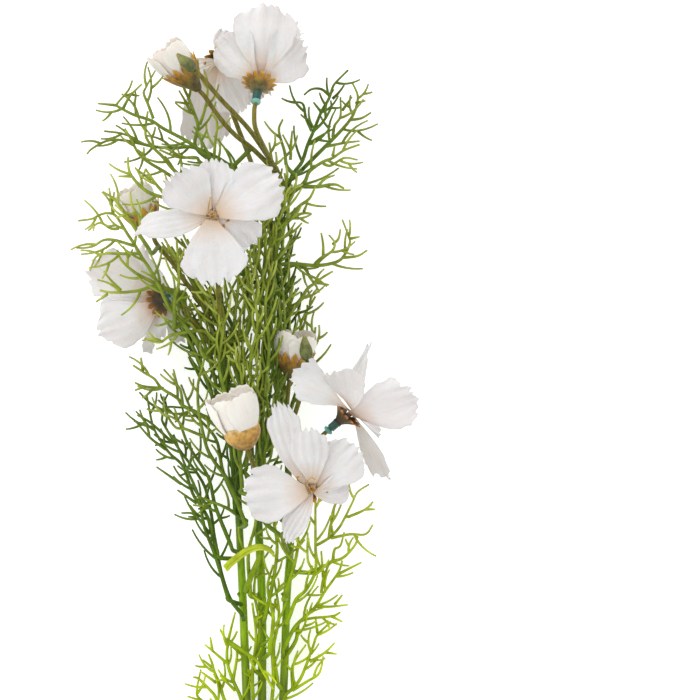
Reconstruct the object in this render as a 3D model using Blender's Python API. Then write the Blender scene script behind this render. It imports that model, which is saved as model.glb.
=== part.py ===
"""A bunch of three artificial cosmos sprays, tied below and lying on its side.

The stems run along +Y, from their cut feet to the top bloom. The bunch rests on z = 0, and the origin is
below the middle of the whole bunch. Every number in this file is in millimetres. add_object turns them to
metres. Each bloom is two die-cut layers of cloth petals, a toothed calyx, a collar and a centre of
stamens. The leaves are flat moulded sprigs, which keep clear of whatever was made before them.
"""
import math

import bmesh
import bpy
from mathutils import Vector
from mathutils.bvhtree import BVHTree

MM = 0.001
GAP = 0.3

STEM_RADIUS = 2.6
STEM_TOP_RADIUS = 1.7
STALK_RADIUS = 1.3
STEM_SIDES = 8
STALK_SIDES = 6

TIE_Y = -185.0
TIE_WIDTH = 9.0
TIE_THICKNESS = 0.9
TIE_CLEARANCE = 0.5
STEM_PITCH_AT_TIE = 5.7
TIE_CENTRE_X = 6.0

CLOTH = 0.6
HUB_RADIUS = 3.6
PETAL_ROWS = 5
PETAL_CUP = 0.12
LAYER_RISE = 1.5
PETAL_SHARES = (1.0, 0.85, 0.7, 0.55, 0.4)
PETAL_LEANS = (0, -2, 2, -4, 4, -7, 7, -10, 10, -14, 14)

CALYX_DEPTH = 8.0
CALYX_RADIUS = 5.8
CALYX_TEETH = 8
COLLAR_LENGTH = 5.5
COLLAR_RADIUS = 2.2
BEAD_RADIUS = 2.7
STAMEN_HEIGHT = 4.5
STAMEN_RADIUS = 1.8

CUP_SEGMENTS = 10

FROND_THICKNESS = 1.3
RACHIS_HALF_WIDTH = 0.9
TWIG_SPACING = 6.0
TWIG_HALF_WIDTH = 0.4
FORK_PLACE = 0.5
PRONG_SHARE = 0.4
TWIG_ANGLE = math.radians(42)
FROND_CLEARANCE = 1.3
LEAF_FACE = Vector((0.15, 0.1, 1))
RIB_STEPS = 8
RIB_WINDOW = 14
TABLE_CLEARANCE = 0.05

# finish: colour, roughness
FINISHES = {
    "petal_cloth": ((0.84, 0.82, 0.79), 0.75),
    "calyx_plastic": ((0.42, 0.28, 0.06), 0.55),
    "collar_plastic": ((0.03, 0.14, 0.10), 0.35),
    "stamen_plastic": ((0.55, 0.30, 0.06), 0.60),
    "bud_plastic": ((0.16, 0.17, 0.03), 0.55),
    "stem_plastic": ((0.16, 0.32, 0.03), 0.45),
    "leaf_plastic": ((0.14, 0.30, 0.02), 0.45),
    "tie_tape": ((0.10, 0.16, 0.05), 0.70),
}

# bloom: centre, axis it faces along, then its six petals: each one's tip, width and roll about its own
# length in degrees. Going round the axis, the petals belong to the front and the back layer in turn.
BLOOMS = {
    "bloom_top": ((5, 192, 66), (0.12, 0.75, -0.65), (
        ((9, 232, 60), 32, 0), ((27, 212, 57), 28, -30), ((-14, 215, 56), 27, 30),
        ((-4, 225, 42), 22, 0), ((25, 219, 32), 20, 0), ((8, 202, 30), 20, 0))),
    "bloom_behind": ((-15, 202, 34), (0.10, -0.55, 0.83), (
        ((-4, 176, 45), 20, 15), ((6, 208, 20), 18, 0), ((-10, 218, 28), 14, 0),
        ((-25, 157, 6), 25, 0), ((8, 184, 14), 20, 0), ((-36, 194, 14), 14, 0))),
    "bloom_centre": ((-19, 122, 98), (0.00, -0.10, 0.99), (
        ((-39, 144, 111), 26, 0), ((16, 141, 102), 30, 0), ((-17, 86, 92), 32, 0),
        ((-18, 151, 104), 20, 0), ((-60, 114, 93), 17, 65), ((1, 104, 82), 24, 0))),
    "bloom_left": ((-48, 78, 40), (-0.60, -0.10, -0.78), (
        ((-76, 78, 14), 20, 0), ((-57, 104, 8), 22, 0), ((-50, 54, 4), 22, 0),
        ((-84, 96, 34), 26, -25), ((-79, 61, 27), 26, 20), ((-33, 60, 16), 22, 0))),
    "bloom_right": ((52, 20, 68), (0.70, 0.60, 0.15), (
        ((48, 42, 92), 22, 60), ((62, 56, 56), 20, 40), ((68, 8, 62), 16, 0),
        ((22, 40, 76), 26, -50), ((80, 28, 83), 27, -45), ((70, -16, 48), 24, -30))),
    "bloom_front": ((32, -19, 90), (0.10, -0.25, 0.96), (
        ((30, 11, 102), 19, 0), ((18, -47, 84), 13, 60), ((52, -17, 81), 18, 0),
        ((14, 25, 84), 16, 0), ((-3, -23, 92), 30, 0), ((56, 2, 92), 25, 0))),
}

# half-open bloom: base of its cup, axis, height and radius of the cup, radius of its calyx.
HALF_OPEN = {
    "half_open_top_left": ((-29, 190, 62), (-0.62, 0.72, 0.08), 27, 10.5, 6.0),
    "half_open_left": ((-52, 115, 60), (-0.40, 0.85, 0.12), 26, 10.5, 5.0),
    "half_open_middle": ((21, 40, 42), (0.12, 0.90, 0.15), 25, 11.5, 5.0),
    "half_open_front": ((-2, 4, 80), (-0.28, 0.85, 0.14), 29, 13.5, 8.0),
}

# bud: centre, axis, length, radius
BUDS = {
    "bud_top": ((-33, 201, 83), (-0.70, 0.65, 0.20), 13.0, 4.0),
    "bud_middle": ((29, 53, 62), (-0.10, 0.95, 0.20), 14.0, 3.9),
    "bud_low": ((17, -32, 62), (-0.10, 0.90, 0.30), 12.0, 3.5),
}

# stem: route of the wire, then the side stalks. A stalk is the head that it carries and its route. The
# first point lies inside the stem.
STEMS = {
    "stem_tall": (
        ((6, -233, 2.7), (6, -210, 3.6), (6, -185, 4), (6, -160, 5), (6, -130, 8), (6, -78, 15),
         (4, -26, 26), (6, 26, 36), (10, 78, 42), (13, 109, 45), (17, 134, 48), (13, 147, 50)),
        (("bloom_top", ((15, 143, 50), (8, 156, 68), (3, 167, 80))),
         ("half_open_top_left", ((14, 144, 50), (2, 156, 56), (-8, 164, 60), (-16, 173, 62))),
         ("bloom_behind", ((13, 109, 45), (4, 140, 38), (-8, 172, 24), (-15, 190, 18))),
         ("bud_top", ((13, 147, 50), (0, 166, 68), (-15, 182, 78))))),
    "stem_left": (
        ((-4, -226, 2.7), (-1.5, -205, 3.8), (0.3, -185, 4), (-1, -160, 5), (-2, -130, 8),
         (-4, -78, 14), (-5, -57, 18), (-7, -16, 28), (-10, 16, 36), (-15, 52, 48)),
        (("bloom_centre", ((-14, 46, 46), (-15, 66, 58), (-17, 92, 74), (-19, 112, 80))),
         ("half_open_left", ((-14, 48, 47), (-24, 74, 52), (-34, 88, 53), (-40, 97, 56))),
         ("bloom_left", ((-13, 42, 44), (-22, 58, 50), (-32, 70, 56))))),
    "stem_right": (
        ((14, -222, 2.7), (13, -205, 3.8), (11.7, -185, 4), (14, -160, 5), (17, -130, 8),
         (19, -78, 14), (21, -47, 22), (20, -16, 32), (19, 12, 35)),
        (("half_open_middle", ((19, 8, 35), (19, 20, 36))),
         ("bloom_right", ((20, -12, 32), (25, -6, 42), (29, 0, 54), (32, 3, 62))),
         ("bloom_front", ((21, -44, 23), (26, -34, 46), (30, -22, 66))),
         ("half_open_front", ((20, -30, 27), (12, -26, 54), (7, -19, 70))),
         ("bud_middle", ((19, 6, 35), (25, 24, 46), (28, 38, 55))),
         ("bud_low", ((21, -56, 20), (18, -50, 38), (17, -44, 50))))),
}

# leaf: length of its longest twigs, and the route of its main rib.
FRONDS = {
    "frond_foot_left": (12, ((-7, -138, 12), (-9, -122, 11), (-13, -111, 9), (-15, -98, 8), (-14, -84, 8))),
    "frond_foot_right": (15, ((21, -129, 14), (26, -121, 12), (31, -111, 10), (35, -98, 8), (43, -88, 7))),
    "frond_low_right": (15, ((23, -103, 16), (29, -90, 14), (38, -76, 12), (46, -64, 11), (56, -46, 10))),
    "frond_side_right": (15, ((24, -84, 24), (30, -72, 28), (36, -58, 32), (45, -42, 36), (55, -22, 40))),
    "frond_low_left": (16, ((-9, -78, 24), (-15, -60, 27), (-19, -40, 27), (-25, -18, 25), (-40, 8, 20),
                            (-58, 30, 16))),
    "frond_side_left": (12, ((-14, 6, 42), (-28, 17, 40), (-46, 32, 34), (-61, 43, 28))),
    "frond_arch_left": (12, ((-9, -40, 38), (-18, -14, 48), (-27, 16, 56), (-27, 34, 60), (-22, 54, 64))),
    "frond_over_left": (15, ((-24, 54, 68), (-36, 70, 72), (-49, 89, 74), (-62, 107, 74), (-74, 120, 73),
                             (-88, 119, 70))),
    "frond_mid_right": (14, ((15, 94, 34), (25, 95, 32), (37, 94, 30), (46, 99, 28), (52, 112, 27))),
    "frond_high_right": (12, ((22, 124, 40), (30, 137, 42), (40, 142, 42), (51, 142, 40))),
    "frond_top_right": (15, ((24, 130, 30), (30, 150, 24), (36, 168, 20), (43, 186, 18), (52, 198, 17))),
    "frond_back_right": (12, ((26, 128, 14), (38, 148, 9), (50, 166, 5), (58, 184, 3))),
    "frond_top_left": (15, ((-24, 146, 74), (-36, 160, 72), (-49, 172, 66), (-59, 185, 62), (-64, 200, 60))),
    "frond_back_left": (14, ((-24, 134, 52), (-40, 152, 46), (-56, 160, 40), (-72, 160, 35), (-84, 154, 32))),
    "frond_low_back": (14, ((2, -10, 14), (-8, 20, 10), (-14, 48, 8), (-12, 78, 6), (2, 104, 5))),
}


def clear_scene():
    for thing in list(bpy.data.objects):
        bpy.data.objects.remove(thing, do_unlink=True)


def make_material(node, finish):
    colour, roughness = FINISHES[finish]
    material = bpy.data.materials.new(f"{node}_{finish}")
    material.use_nodes = True
    shader = material.node_tree.nodes["Principled BSDF"]
    shader.inputs["Base Color"].default_value = (*colour, 1.0)
    shader.inputs["Roughness"].default_value = roughness
    shader.inputs["Metallic"].default_value = 0.0
    material.diffuse_color = (*colour, 1.0)
    return material


def add_object(node, points, faces, finish, anchor, turn_outwards=True):
    """An object whose origin is at its anchor, made from points and faces in millimetres."""
    anchor = Vector(anchor)
    mesh = bpy.data.meshes.new(node)
    mesh.from_pydata([(Vector(p) - anchor) * MM for p in points], [], faces)
    if turn_outwards:
        tidy = bmesh.new()
        tidy.from_mesh(mesh)
        bmesh.ops.recalc_face_normals(tidy, faces=tidy.faces)
        tidy.to_mesh(mesh)
        tidy.free()
    mesh.materials.append(make_material(node, finish))
    thing = bpy.data.objects.new(node, mesh)
    thing.location = anchor * MM
    bpy.context.collection.objects.link(thing)
    return thing


def smooth_path(points, steps=4):
    """A smooth curve through the points, with a number of steps between each two."""
    knots = [Vector(p) for p in points]
    knots = [2 * knots[0] - knots[1]] + knots + [2 * knots[-1] - knots[-2]]
    path = []
    for a, b, c, d in zip(knots, knots[1:], knots[2:], knots[3:]):
        for k in range(steps):
            t = k / steps
            path.append(0.5 * (2 * b + (c - a) * t + (2 * a - 5 * b + 4 * c - d) * t * t
                               + (3 * b - a - 3 * c + d) * t ** 3))
    path.append(knots[-2])
    return path


def across(direction):
    """Two unit vectors square to a direction and to each other."""
    direction = Vector(direction).normalized()
    helper = Vector((0, 0, 1)) if abs(direction.z) < 0.9 else Vector((1, 0, 0))
    first = helper.cross(direction).normalized()
    return first, direction.cross(first)


def lofted(rings, close_ends=True):
    """Points and faces of a skin over rings of equal count."""
    count = len(rings[0])
    points = [p for ring in rings for p in ring]
    faces = []
    for r in range(len(rings) - 1):
        for k in range(count):
            after = (k + 1) % count
            faces.append((r * count + k, r * count + after, (r + 1) * count + after, (r + 1) * count + k))
    if close_ends:
        faces.append(tuple(reversed(range(count))))
        faces.append(tuple(range((len(rings) - 1) * count, len(rings) * count)))
    return points, faces


def tube(path, first_radius, last_radius, sides):
    """A round rod along a path, with an even taper."""
    rings = []
    first, _ = across(path[1] - path[0])
    for k, centre in enumerate(path):
        along = (path[min(k + 1, len(path) - 1)] - path[max(k - 1, 0)]).normalized()
        first = (first - along * first.dot(along)).normalized()
        second = along.cross(first)
        radius = first_radius + (last_radius - first_radius) * k / (len(path) - 1)
        rings.append([centre + radius * (math.cos(a) * first + math.sin(a) * second)
                      for a in (2 * math.pi * s / sides for s in range(sides))])
    return lofted(rings)


def turned(centre, axis, profile, sides):
    """A solid of revolution: profile holds (height along the axis, radius)."""
    axis = Vector(axis).normalized()
    first, second = across(axis)
    rings = [[Vector(centre) + axis * height + radius * (math.cos(a) * first + math.sin(a) * second)
              for a in (2 * math.pi * s / sides for s in range(sides))] for height, radius in profile]
    return lofted(rings)


def head_foot(head):
    """Where a stalk ends below its head, and the way it points there."""
    if head in BLOOMS:
        centre, axis = BLOOMS[head][0], Vector(BLOOMS[head][1]).normalized()
        return Vector(centre) - axis * (CALYX_DEPTH + COLLAR_LENGTH + 2.5 + 2 * GAP), axis
    if head in HALF_OPEN:
        base, axis, _, _, calyx = HALF_OPEN[head]
        axis = Vector(axis).normalized()
        return Vector(base) - axis * (calyx * 1.3 + 2 * GAP), axis
    centre, axis, length, _ = BUDS[head]
    axis = Vector(axis).normalized()
    return Vector(centre) - axis * (length / 2 + GAP), axis


def united(node, solids, finish, anchor):
    """One object: the union of overlapping solids."""
    parts = [add_object(f"{node}_{k}", *solid, finish, anchor) for k, solid in enumerate(solids)]
    base = parts[0]
    for other in parts[1:]:
        join = base.modifiers.new("join", "BOOLEAN")
        join.operation = "UNION"
        join.object = other
    depsgraph = bpy.context.evaluated_depsgraph_get()
    mesh = bpy.data.meshes.new_from_object(base.evaluated_get(depsgraph))
    for part in parts:
        bpy.data.objects.remove(part, do_unlink=True)
    whole = bpy.data.objects.new(node, mesh)
    whole.location = Vector(anchor) * MM
    mesh.materials.clear()
    mesh.materials.append(make_material(node, finish))
    bpy.context.collection.objects.link(whole)
    return whole


def make_stem(node):
    route, stalks = STEMS[node]
    solids = [tube(smooth_path(route, 3), STEM_RADIUS, STEM_TOP_RADIUS, STEM_SIDES)]
    for head, points in stalks:
        foot, axis = head_foot(head)
        route_up = [*points, foot - axis * 5, foot]
        solids.append(tube(smooth_path(route_up, 3), STALK_RADIUS, STALK_RADIUS * 0.9, STALK_SIDES))
    return united(node, solids, "stem_plastic", route[0])


def make_tie():
    """A flat band round the three stems."""
    half_run = STEM_PITCH_AT_TIE
    centre_z = STEM_RADIUS + TIE_CLEARANCE + TIE_THICKNESS
    rings = []
    for y, radius in ((-0.5, 0), (0.5, 0), (0.5, 1), (-0.5, 1)):
        reach = STEM_RADIUS + TIE_CLEARANCE + TIE_THICKNESS * radius
        ring = []
        for end in (1, -1):
            for k in range(7):
                angle = math.radians(-90 + 30 * k) + (0 if end == 1 else math.pi)
                ring.append(Vector((TIE_CENTRE_X + end * half_run + reach * math.cos(angle),
                                    TIE_Y + y * TIE_WIDTH, centre_z + reach * math.sin(angle))))
        rings.append(ring)
    points, faces = lofted(rings + [rings[0]], close_ends=False)
    count, last = len(rings[0]), len(rings) * len(rings[0])
    faces = [tuple(i - last if i >= last else i for i in face) for face in faces]
    return add_object("tie", points[:4 * count], faces, "tie_tape", (TIE_CENTRE_X, TIE_Y, centre_z))


def bezier(controls, t):
    a, b, c, d = controls
    s = 1 - t
    point = a * s ** 3 + 3 * b * s * s * t + 3 * c * s * t * t + d * t ** 3
    along = 3 * s * s * (b - a) + 6 * s * t * (c - b) + 3 * t * t * (d - c)
    return point, along.normalized()


def petal_half_width(t):
    """A petal's half width, as a share of its full half width: narrow at its foot, widest past the middle."""
    return 0.14 + 0.86 * math.sin(math.pi * min(t, 0.62) / 1.24) ** 1.3 - 0.9 * max(0.0, t - 0.7) ** 1.6


def on_table(point, half_thickness):
    """Cloth and leaves that would dip below the table lie on it."""
    lowest = half_thickness + TABLE_CLEARANCE
    return Vector((point.x, point.y, max(point.z, lowest)))


def petal_rows(centre, axis, slot, tip, width, roll):
    """Rows of three points across a petal, from its foot at the hub to its tip."""
    foot = centre + slot * HUB_RADIUS
    tip = Vector(tip)
    reach = (tip - foot).length
    straight = (tip - foot).normalized()
    bend = (slot * 0.45 + straight * 0.55).normalized()
    controls = (foot, foot + bend * reach * 0.35, tip - straight * reach * 0.35, tip)
    rows = []
    for k in range(PETAL_ROWS + 1):
        t = k / PETAL_ROWS
        point, along = bezier(controls, t)
        outward = slot.lerp((tip - centre - axis * axis.dot(tip - centre)).normalized(), t)
        face = axis * along.dot(outward) - outward * along.dot(axis)
        face = (face - along * face.dot(along)).normalized()
        side = along.cross(face)
        turn = math.radians(roll) * t
        face, side = (face * math.cos(turn) + side * math.sin(turn),
                      side * math.cos(turn) - face * math.sin(turn))
        if k == 0:
            face, side = axis, slot.cross(axis)
        half = width / 2 * petal_half_width(t)
        lift = face * half * PETAL_CUP * t
        rows.append([on_table(point + side * half * v + lift * abs(v), CLOTH / 2) for v in (-1, 0, 1)])
    return rows


def sheet_faces(rows):
    """Faces of a sheet whose points are numbered row by row."""
    count = len(rows[0])
    return [(r * count + c, r * count + c + 1, (r + 1) * count + c + 1, (r + 1) * count + c)
            for r in range(len(rows) - 1) for c in range(count - 1)]


def petal_slots(centre, axis, petals):
    """Six even directions round the hub, each with the petal that lies nearest, split into two layers."""
    first, second = across(axis)
    turns = []
    for petal in petals:
        out = Vector(petal[0]) - centre
        turns.append((math.atan2(out.dot(second), out.dot(first)) % (2 * math.pi), petal))
    turns.sort(key=lambda item: item[0])
    phase = sum(angle - math.pi * k / 3 for k, (angle, _) in enumerate(turns)) / 6
    slots = []
    for k, (_, petal) in enumerate(turns):
        angle = phase + math.pi * k / 3
        slots.append((first * math.cos(angle) + second * math.sin(angle), petal))
    layers = slots[0::2], slots[1::2]
    return sorted(layers, key=lambda layer: -sum(axis.dot(petal[0]) for _, petal in layer))


def fitted_petal(centre, axis, slot, petal, around):
    """A petal's rows, leaning a little to and fro, or narrower, until it touches nothing."""
    tip, width, roll = petal
    for share in PETAL_SHARES:
        for lean in PETAL_LEANS:
            rows = petal_rows(centre, axis, slot, Vector(tip) + axis * lean, width * share, roll)
            if around.sheet_clear(rows, CLOTH / 2 + 2 * GAP):
                return rows
    return rows


def make_petal_layer(node, centre, axis, slots, around):
    """One die-cut layer of cloth: three petals joined at a small hub."""
    points, faces, rim = [centre], [], []
    for slot, petal in slots:
        rows = fitted_petal(centre, axis, slot, petal, around)
        start = len(points)
        points += [p for row in rows for p in row]
        faces += [tuple(start + i for i in face) for face in sheet_faces(rows)]
        rim += [start + 2, start + 1, start]
    faces += [(0, b, a) for a, b in zip(rim, rim[1:] + rim[:1])]
    layer = add_object(node, points, faces, "petal_cloth", centre)
    solid = layer.modifiers.new("cloth", "SOLIDIFY")
    solid.thickness = CLOTH * MM
    solid.offset = 0.0
    around.add(layer)


def make_calyx(node, centre, axis, radius, depth):
    """A cup of teeth that holds the petals from below."""
    axis = Vector(axis).normalized()
    first, second = across(axis)
    count = 2 * CALYX_TEETH
    levels = ((-depth, 0.42, 0.42), (-0.55 * depth, 0.66, 0.66), (-1.6, 1.0, 0.72), (-1.2, 0.5, 0.5))
    rings = []
    for height, tooth, notch in levels:
        ring = []
        for k in range(count):
            angle = 2 * math.pi * k / count
            reach = radius * (tooth if k % 2 == 0 else notch)
            drop = 0.7 if k % 2 and tooth != notch else 0.0
            ring.append(Vector(centre) + axis * (height - drop)
                        + reach * (math.cos(angle) * first + math.sin(angle) * second))
        rings.append(ring)
    return add_object(node, *lofted(rings), "calyx_plastic", centre)


def make_collar(node, centre, axis):
    """The moulded sleeve below a calyx, with a bead at its lower end."""
    top = -CALYX_DEPTH - GAP
    low = top - COLLAR_LENGTH
    profile = ((low - 2.5, 0.6 * BEAD_RADIUS), (low - 1.6, BEAD_RADIUS), (low - 0.6, BEAD_RADIUS),
               (low, COLLAR_RADIUS * 0.8), (low + 0.5, COLLAR_RADIUS), (top, COLLAR_RADIUS))
    return add_object(node, *turned(centre, axis, profile, 8), "collar_plastic", centre)


def make_stamens(node, centre, axis):
    base = LAYER_RISE + CLOTH / 2 + 2 * GAP
    profile = ((base, STAMEN_RADIUS), (base + 1.2, STAMEN_RADIUS), (base + STAMEN_HEIGHT, 0.6))
    return add_object(node, *turned(centre, axis, profile, 6), "stamen_plastic", centre)


def make_bloom_core(name):
    """The hard pieces of a bloom, in line along its axis."""
    centre, axis, _ = BLOOMS[name]
    axis = Vector(axis).normalized()
    make_calyx(f"{name}_calyx", centre, axis, CALYX_RADIUS, CALYX_DEPTH)
    make_collar(f"{name}_collar", centre, axis)
    make_stamens(f"{name}_stamens", centre, axis)


def make_bloom_petals(name, around):
    centre, axis, petals = BLOOMS[name]
    centre, axis = Vector(centre), Vector(axis).normalized()
    front, back = petal_slots(centre, axis, petals)
    make_petal_layer(f"{name}_petals_front", centre + axis * LAYER_RISE, axis, front, around)
    make_petal_layer(f"{name}_petals_back", centre, axis, back, around)


def make_half_open(name):
    """A cup of cloth petals that has not opened yet, in its calyx."""
    base, axis, height, radius, calyx = HALF_OPEN[name]
    base, axis = Vector(base), Vector(axis).normalized()
    first, second = across(axis)
    rings = []
    for rise, share in ((0.0, 0.24), (0.22, 0.66), (0.6, 1.0), (1.0, 0.84)):
        ring = []
        for k in range(CUP_SEGMENTS):
            angle = 2 * math.pi * k / CUP_SEGMENTS
            notch = 0.06 * height * rise * (k % 2)
            ring.append(base + axis * (rise * height - notch)
                        + radius * share * (math.cos(angle) * first + math.sin(angle) * second))
        rings.append(ring)
    points, faces = lofted(rings, close_ends=False)
    faces.append(tuple(reversed(range(CUP_SEGMENTS))))
    cup = add_object(f"{name}_petals", points, faces, "petal_cloth", base)
    solid = cup.modifiers.new("cloth", "SOLIDIFY")
    solid.thickness = CLOTH * MM
    solid.offset = 0.0
    make_calyx(f"{name}_calyx", base, axis, calyx, calyx * 1.3)


def make_bud(name):
    centre, axis, length, radius = BUDS[name]
    half = length / 2
    profile = ((-half, 0.35 * radius), (-0.7 * half, 0.8 * radius), (-0.15 * half, radius),
               (0.45 * half, 0.78 * radius), (half, 0.2 * radius))
    return add_object(name, *turned(centre, axis, profile, 8), "bud_plastic", centre)


class Surroundings:
    """What stands already, to keep a new leaf clear of it."""

    def __init__(self):
        self.trees = []

    def add(self, thing):
        depsgraph = bpy.context.evaluated_depsgraph_get()
        mesh = thing.evaluated_get(depsgraph).to_mesh()
        points = [thing.location / MM + v.co / MM for v in mesh.vertices]
        self.trees.append(BVHTree.FromPolygons(points, [tuple(p.vertices) for p in mesh.polygons]))

    def clear(self, point, distance):
        return all(tree.find_nearest(point, distance)[0] is None for tree in self.trees)

    def sheet_clear(self, rows, distance):
        """Whether a sheet crosses nothing and keeps its distance."""
        points = [p for row in rows for p in row]
        sheet = BVHTree.FromPolygons(points, sheet_faces(rows))
        if any(tree.overlap(sheet) for tree in self.trees):
            return False
        for a, b in zip(rows, rows[1:]):
            for share in (0.25, 0.5, 0.75):
                row = [p.lerp(q, share) for p, q in zip(a, b)]
                points += row + [p.lerp(q, part) for p, q in zip(row, row[1:]) for part in (0.25, 0.5, 0.75)]
        return all(self.clear(p, distance) for p in points)


class Rib:
    """A leaf's main rib: places along its length, and the flat leaf laid along it."""

    def __init__(self, route, lift):
        self.path = smooth_path([(x, y, z + lift) for x, y, z in route], RIB_STEPS)
        self.reach = [0.0]
        for a, b in zip(self.path, self.path[1:]):
            self.reach.append(self.reach[-1] + (b - a).length)
        last = len(self.path) - 1
        ways = [self.path[min(k + RIB_WINDOW, last)] - self.path[max(k - RIB_WINDOW, 0)]
                for k in range(last + 1)]
        self.sides = [LEAF_FACE.cross(way).normalized() for way in ways]

    def place(self, along, sideways, rise=0.0):
        """The point at a distance along the rib, to its side and above the leaf's face."""
        k = 0
        while k < len(self.path) - 2 and self.reach[k + 1] < along:
            k += 1
        share = (along - self.reach[k]) / (self.reach[k + 1] - self.reach[k])
        side = self.sides[k].lerp(self.sides[k + 1], share).normalized()
        point = self.path[k].lerp(self.path[k + 1], share) + side * sideways
        return on_table(point, FROND_THICKNESS / 2) + Vector((0, 0, rise))


def longest_clear_run(rib, around):
    """The longest stretch of a rib that touches nothing, as its two ends."""
    best, start, along = (0.0, 0.0), None, 0.0
    while along <= rib.reach[-1]:
        if around.clear(rib.place(along, 0), FROND_CLEARANCE + RACHIS_HALF_WIDTH):
            start = along if start is None else start
            if along - start > best[1] - best[0]:
                best = (start, along)
        else:
            start = None
        along += 1.0
    return best


def twig_outline(rib, around, along, side, length):
    """A forked twig's outline in the flat leaf, or nothing where it has no room."""
    for share in (1.0, 0.7, 0.45):
        size = length * share
        way = Vector((math.cos(TWIG_ANGLE), side * math.sin(TWIG_ANGLE)))
        edge = Vector((-math.sin(TWIG_ANGLE), side * math.cos(TWIG_ANGLE))) * TWIG_HALF_WIDTH
        outward = Vector((0, side)) * TWIG_HALF_WIDTH
        root = Vector((along, side * RACHIS_HALF_WIDTH))
        foot = Vector((2 * TWIG_HALF_WIDTH, 0))
        fork, tip = root + way * size * FORK_PLACE, root + way * size
        prong = fork + Vector((size * PRONG_SHARE, side * 0.5))
        probes = [root.lerp(tip, k / 6) for k in range(1, 7)] + [fork.lerp(prong, 0.5), prong]
        if all(around.clear(rib.place(p.x, p.y), FROND_CLEARANCE) for p in probes):
            return [root - foot, tip + edge, tip - edge, fork + way * 0.7 - edge, prong + outward,
                    prong - outward, fork - way * 0.7 - edge, root + foot]
    return None


def make_frond(node, around):
    """A flat moulded leaf: a rib with forked twigs, bent along its route."""
    twig, route = FRONDS[node]
    choices = []
    for lift in (0, 3, -3, 6, -6, 9, -9, 12):
        rib = Rib(route, lift)
        start, end = longest_clear_run(rib, around)
        choices.append((end - start - 0.5 * abs(lift), lift, start, end))
    _, lift, start, end = max(choices)
    rib = Rib(route, lift)
    sides = {1: [], -1: []}
    along, side = start + 4.0, 1
    while along < end - 3.0:
        taper = 1.0 - 0.45 * (along - start) / (end - start)
        outline = twig_outline(rib, around, along, side, twig * taper)
        if outline:
            sides[side].append(outline)
        along += TWIG_SPACING
        side = -side
    half = RACHIS_HALF_WIDTH
    outline = [Vector((start, half)), Vector((start, -half))]
    outline += [p for item in sides[-1] for p in item]
    outline += [Vector((end, -half * 0.5)), Vector((end, half * 0.5))]
    outline += [p for item in reversed(sides[1]) for p in reversed(item)]
    flat = bmesh.new()
    flat.faces.new([flat.verts.new((p.x, p.y, 0)) for p in outline])
    flat.normal_update()
    bmesh.ops.triangulate(flat, faces=flat.faces, ngon_method="EAR_CLIP")
    flat.verts.index_update()
    top = [tuple(v.index for v in face.verts) for face in flat.faces]
    flat.free()
    count, rise = len(outline), FROND_THICKNESS / 2
    points = [rib.place(p.x, p.y, rise) for p in outline] + [rib.place(p.x, p.y, -rise) for p in outline]
    faces = top + [tuple(count + i for i in reversed(face)) for face in top]
    for k in range(count):
        after = (k + 1) % count
        faces.append((after, k, count + k, count + after))
    return add_object(node, points, faces, "leaf_plastic", rib.place(start, 0), turn_outwards=False)


def main():
    clear_scene()
    for name in BLOOMS:
        make_bloom_core(name)
    for name in HALF_OPEN:
        make_half_open(name)
    for name in BUDS:
        make_bud(name)
    for node in STEMS:
        make_stem(node)
    make_tie()
    around = Surroundings()
    for thing in list(bpy.data.objects):
        around.add(thing)
    for name in BLOOMS:
        make_bloom_petals(name, around)
    for node in FRONDS:
        around.add(make_frond(node, around))


main()
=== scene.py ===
# %% [markdown]
# # A bunch of artificial cosmos
#
# Three wire stems carry cloth blooms, moulded calyces and thread-like moulded leaves. The bunch lies on its
# side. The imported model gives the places, and this script makes what the eye sees: fine petals, toothed
# calyces, round leaves that fork, and a finish for each material. It starts with the fixed frame.

# %% Load the frame
import math
import random

import bpy
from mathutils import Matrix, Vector


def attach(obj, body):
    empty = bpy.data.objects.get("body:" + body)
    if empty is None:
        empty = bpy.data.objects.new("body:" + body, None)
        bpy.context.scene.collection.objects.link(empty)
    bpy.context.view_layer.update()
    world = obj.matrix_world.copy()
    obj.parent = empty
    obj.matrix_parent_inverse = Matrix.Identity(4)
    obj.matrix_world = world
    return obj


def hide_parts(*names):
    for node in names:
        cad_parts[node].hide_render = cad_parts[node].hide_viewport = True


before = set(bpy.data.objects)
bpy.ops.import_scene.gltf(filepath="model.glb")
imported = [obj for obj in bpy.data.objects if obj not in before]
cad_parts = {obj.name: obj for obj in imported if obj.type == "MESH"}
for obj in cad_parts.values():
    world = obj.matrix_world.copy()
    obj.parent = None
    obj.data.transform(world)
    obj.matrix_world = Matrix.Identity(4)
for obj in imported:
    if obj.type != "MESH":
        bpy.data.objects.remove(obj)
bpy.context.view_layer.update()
print("CAD nodes:", len(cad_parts))

# %% [markdown]
# Every length below is in millimetres, because that is how a flower maker thinks. One factor turns them to
# metres where a mesh is made. Colours are written as a paint chart gives them, in sRGB hex, and one function
# turns them to the linear values that a shader needs.

# %% Units and colours
MM = 0.001


def paint(hex_colour):
    """Linear RGBA from an sRGB hex colour."""
    shares = [int(hex_colour[i:i + 2], 16) / 255 for i in (1, 3, 5)]
    return (*[s / 12.92 if s <= 0.04045 else ((s + 0.055) / 1.055) ** 2.4 for s in shares], 1.0)


def wave_scale(period):
    """The Wave Texture's scale for one band in each period, in the units of the coordinates it reads."""
    return math.pi / 10 / period


print("mid grey in linear light:", round(paint("#808080")[0], 3))

# %% [markdown]
# One small function adds a node to a tree, with its settings, what feeds its sockets, and the stops of a
# colour ramp. Shader trees and geometry trees both use it.

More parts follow.
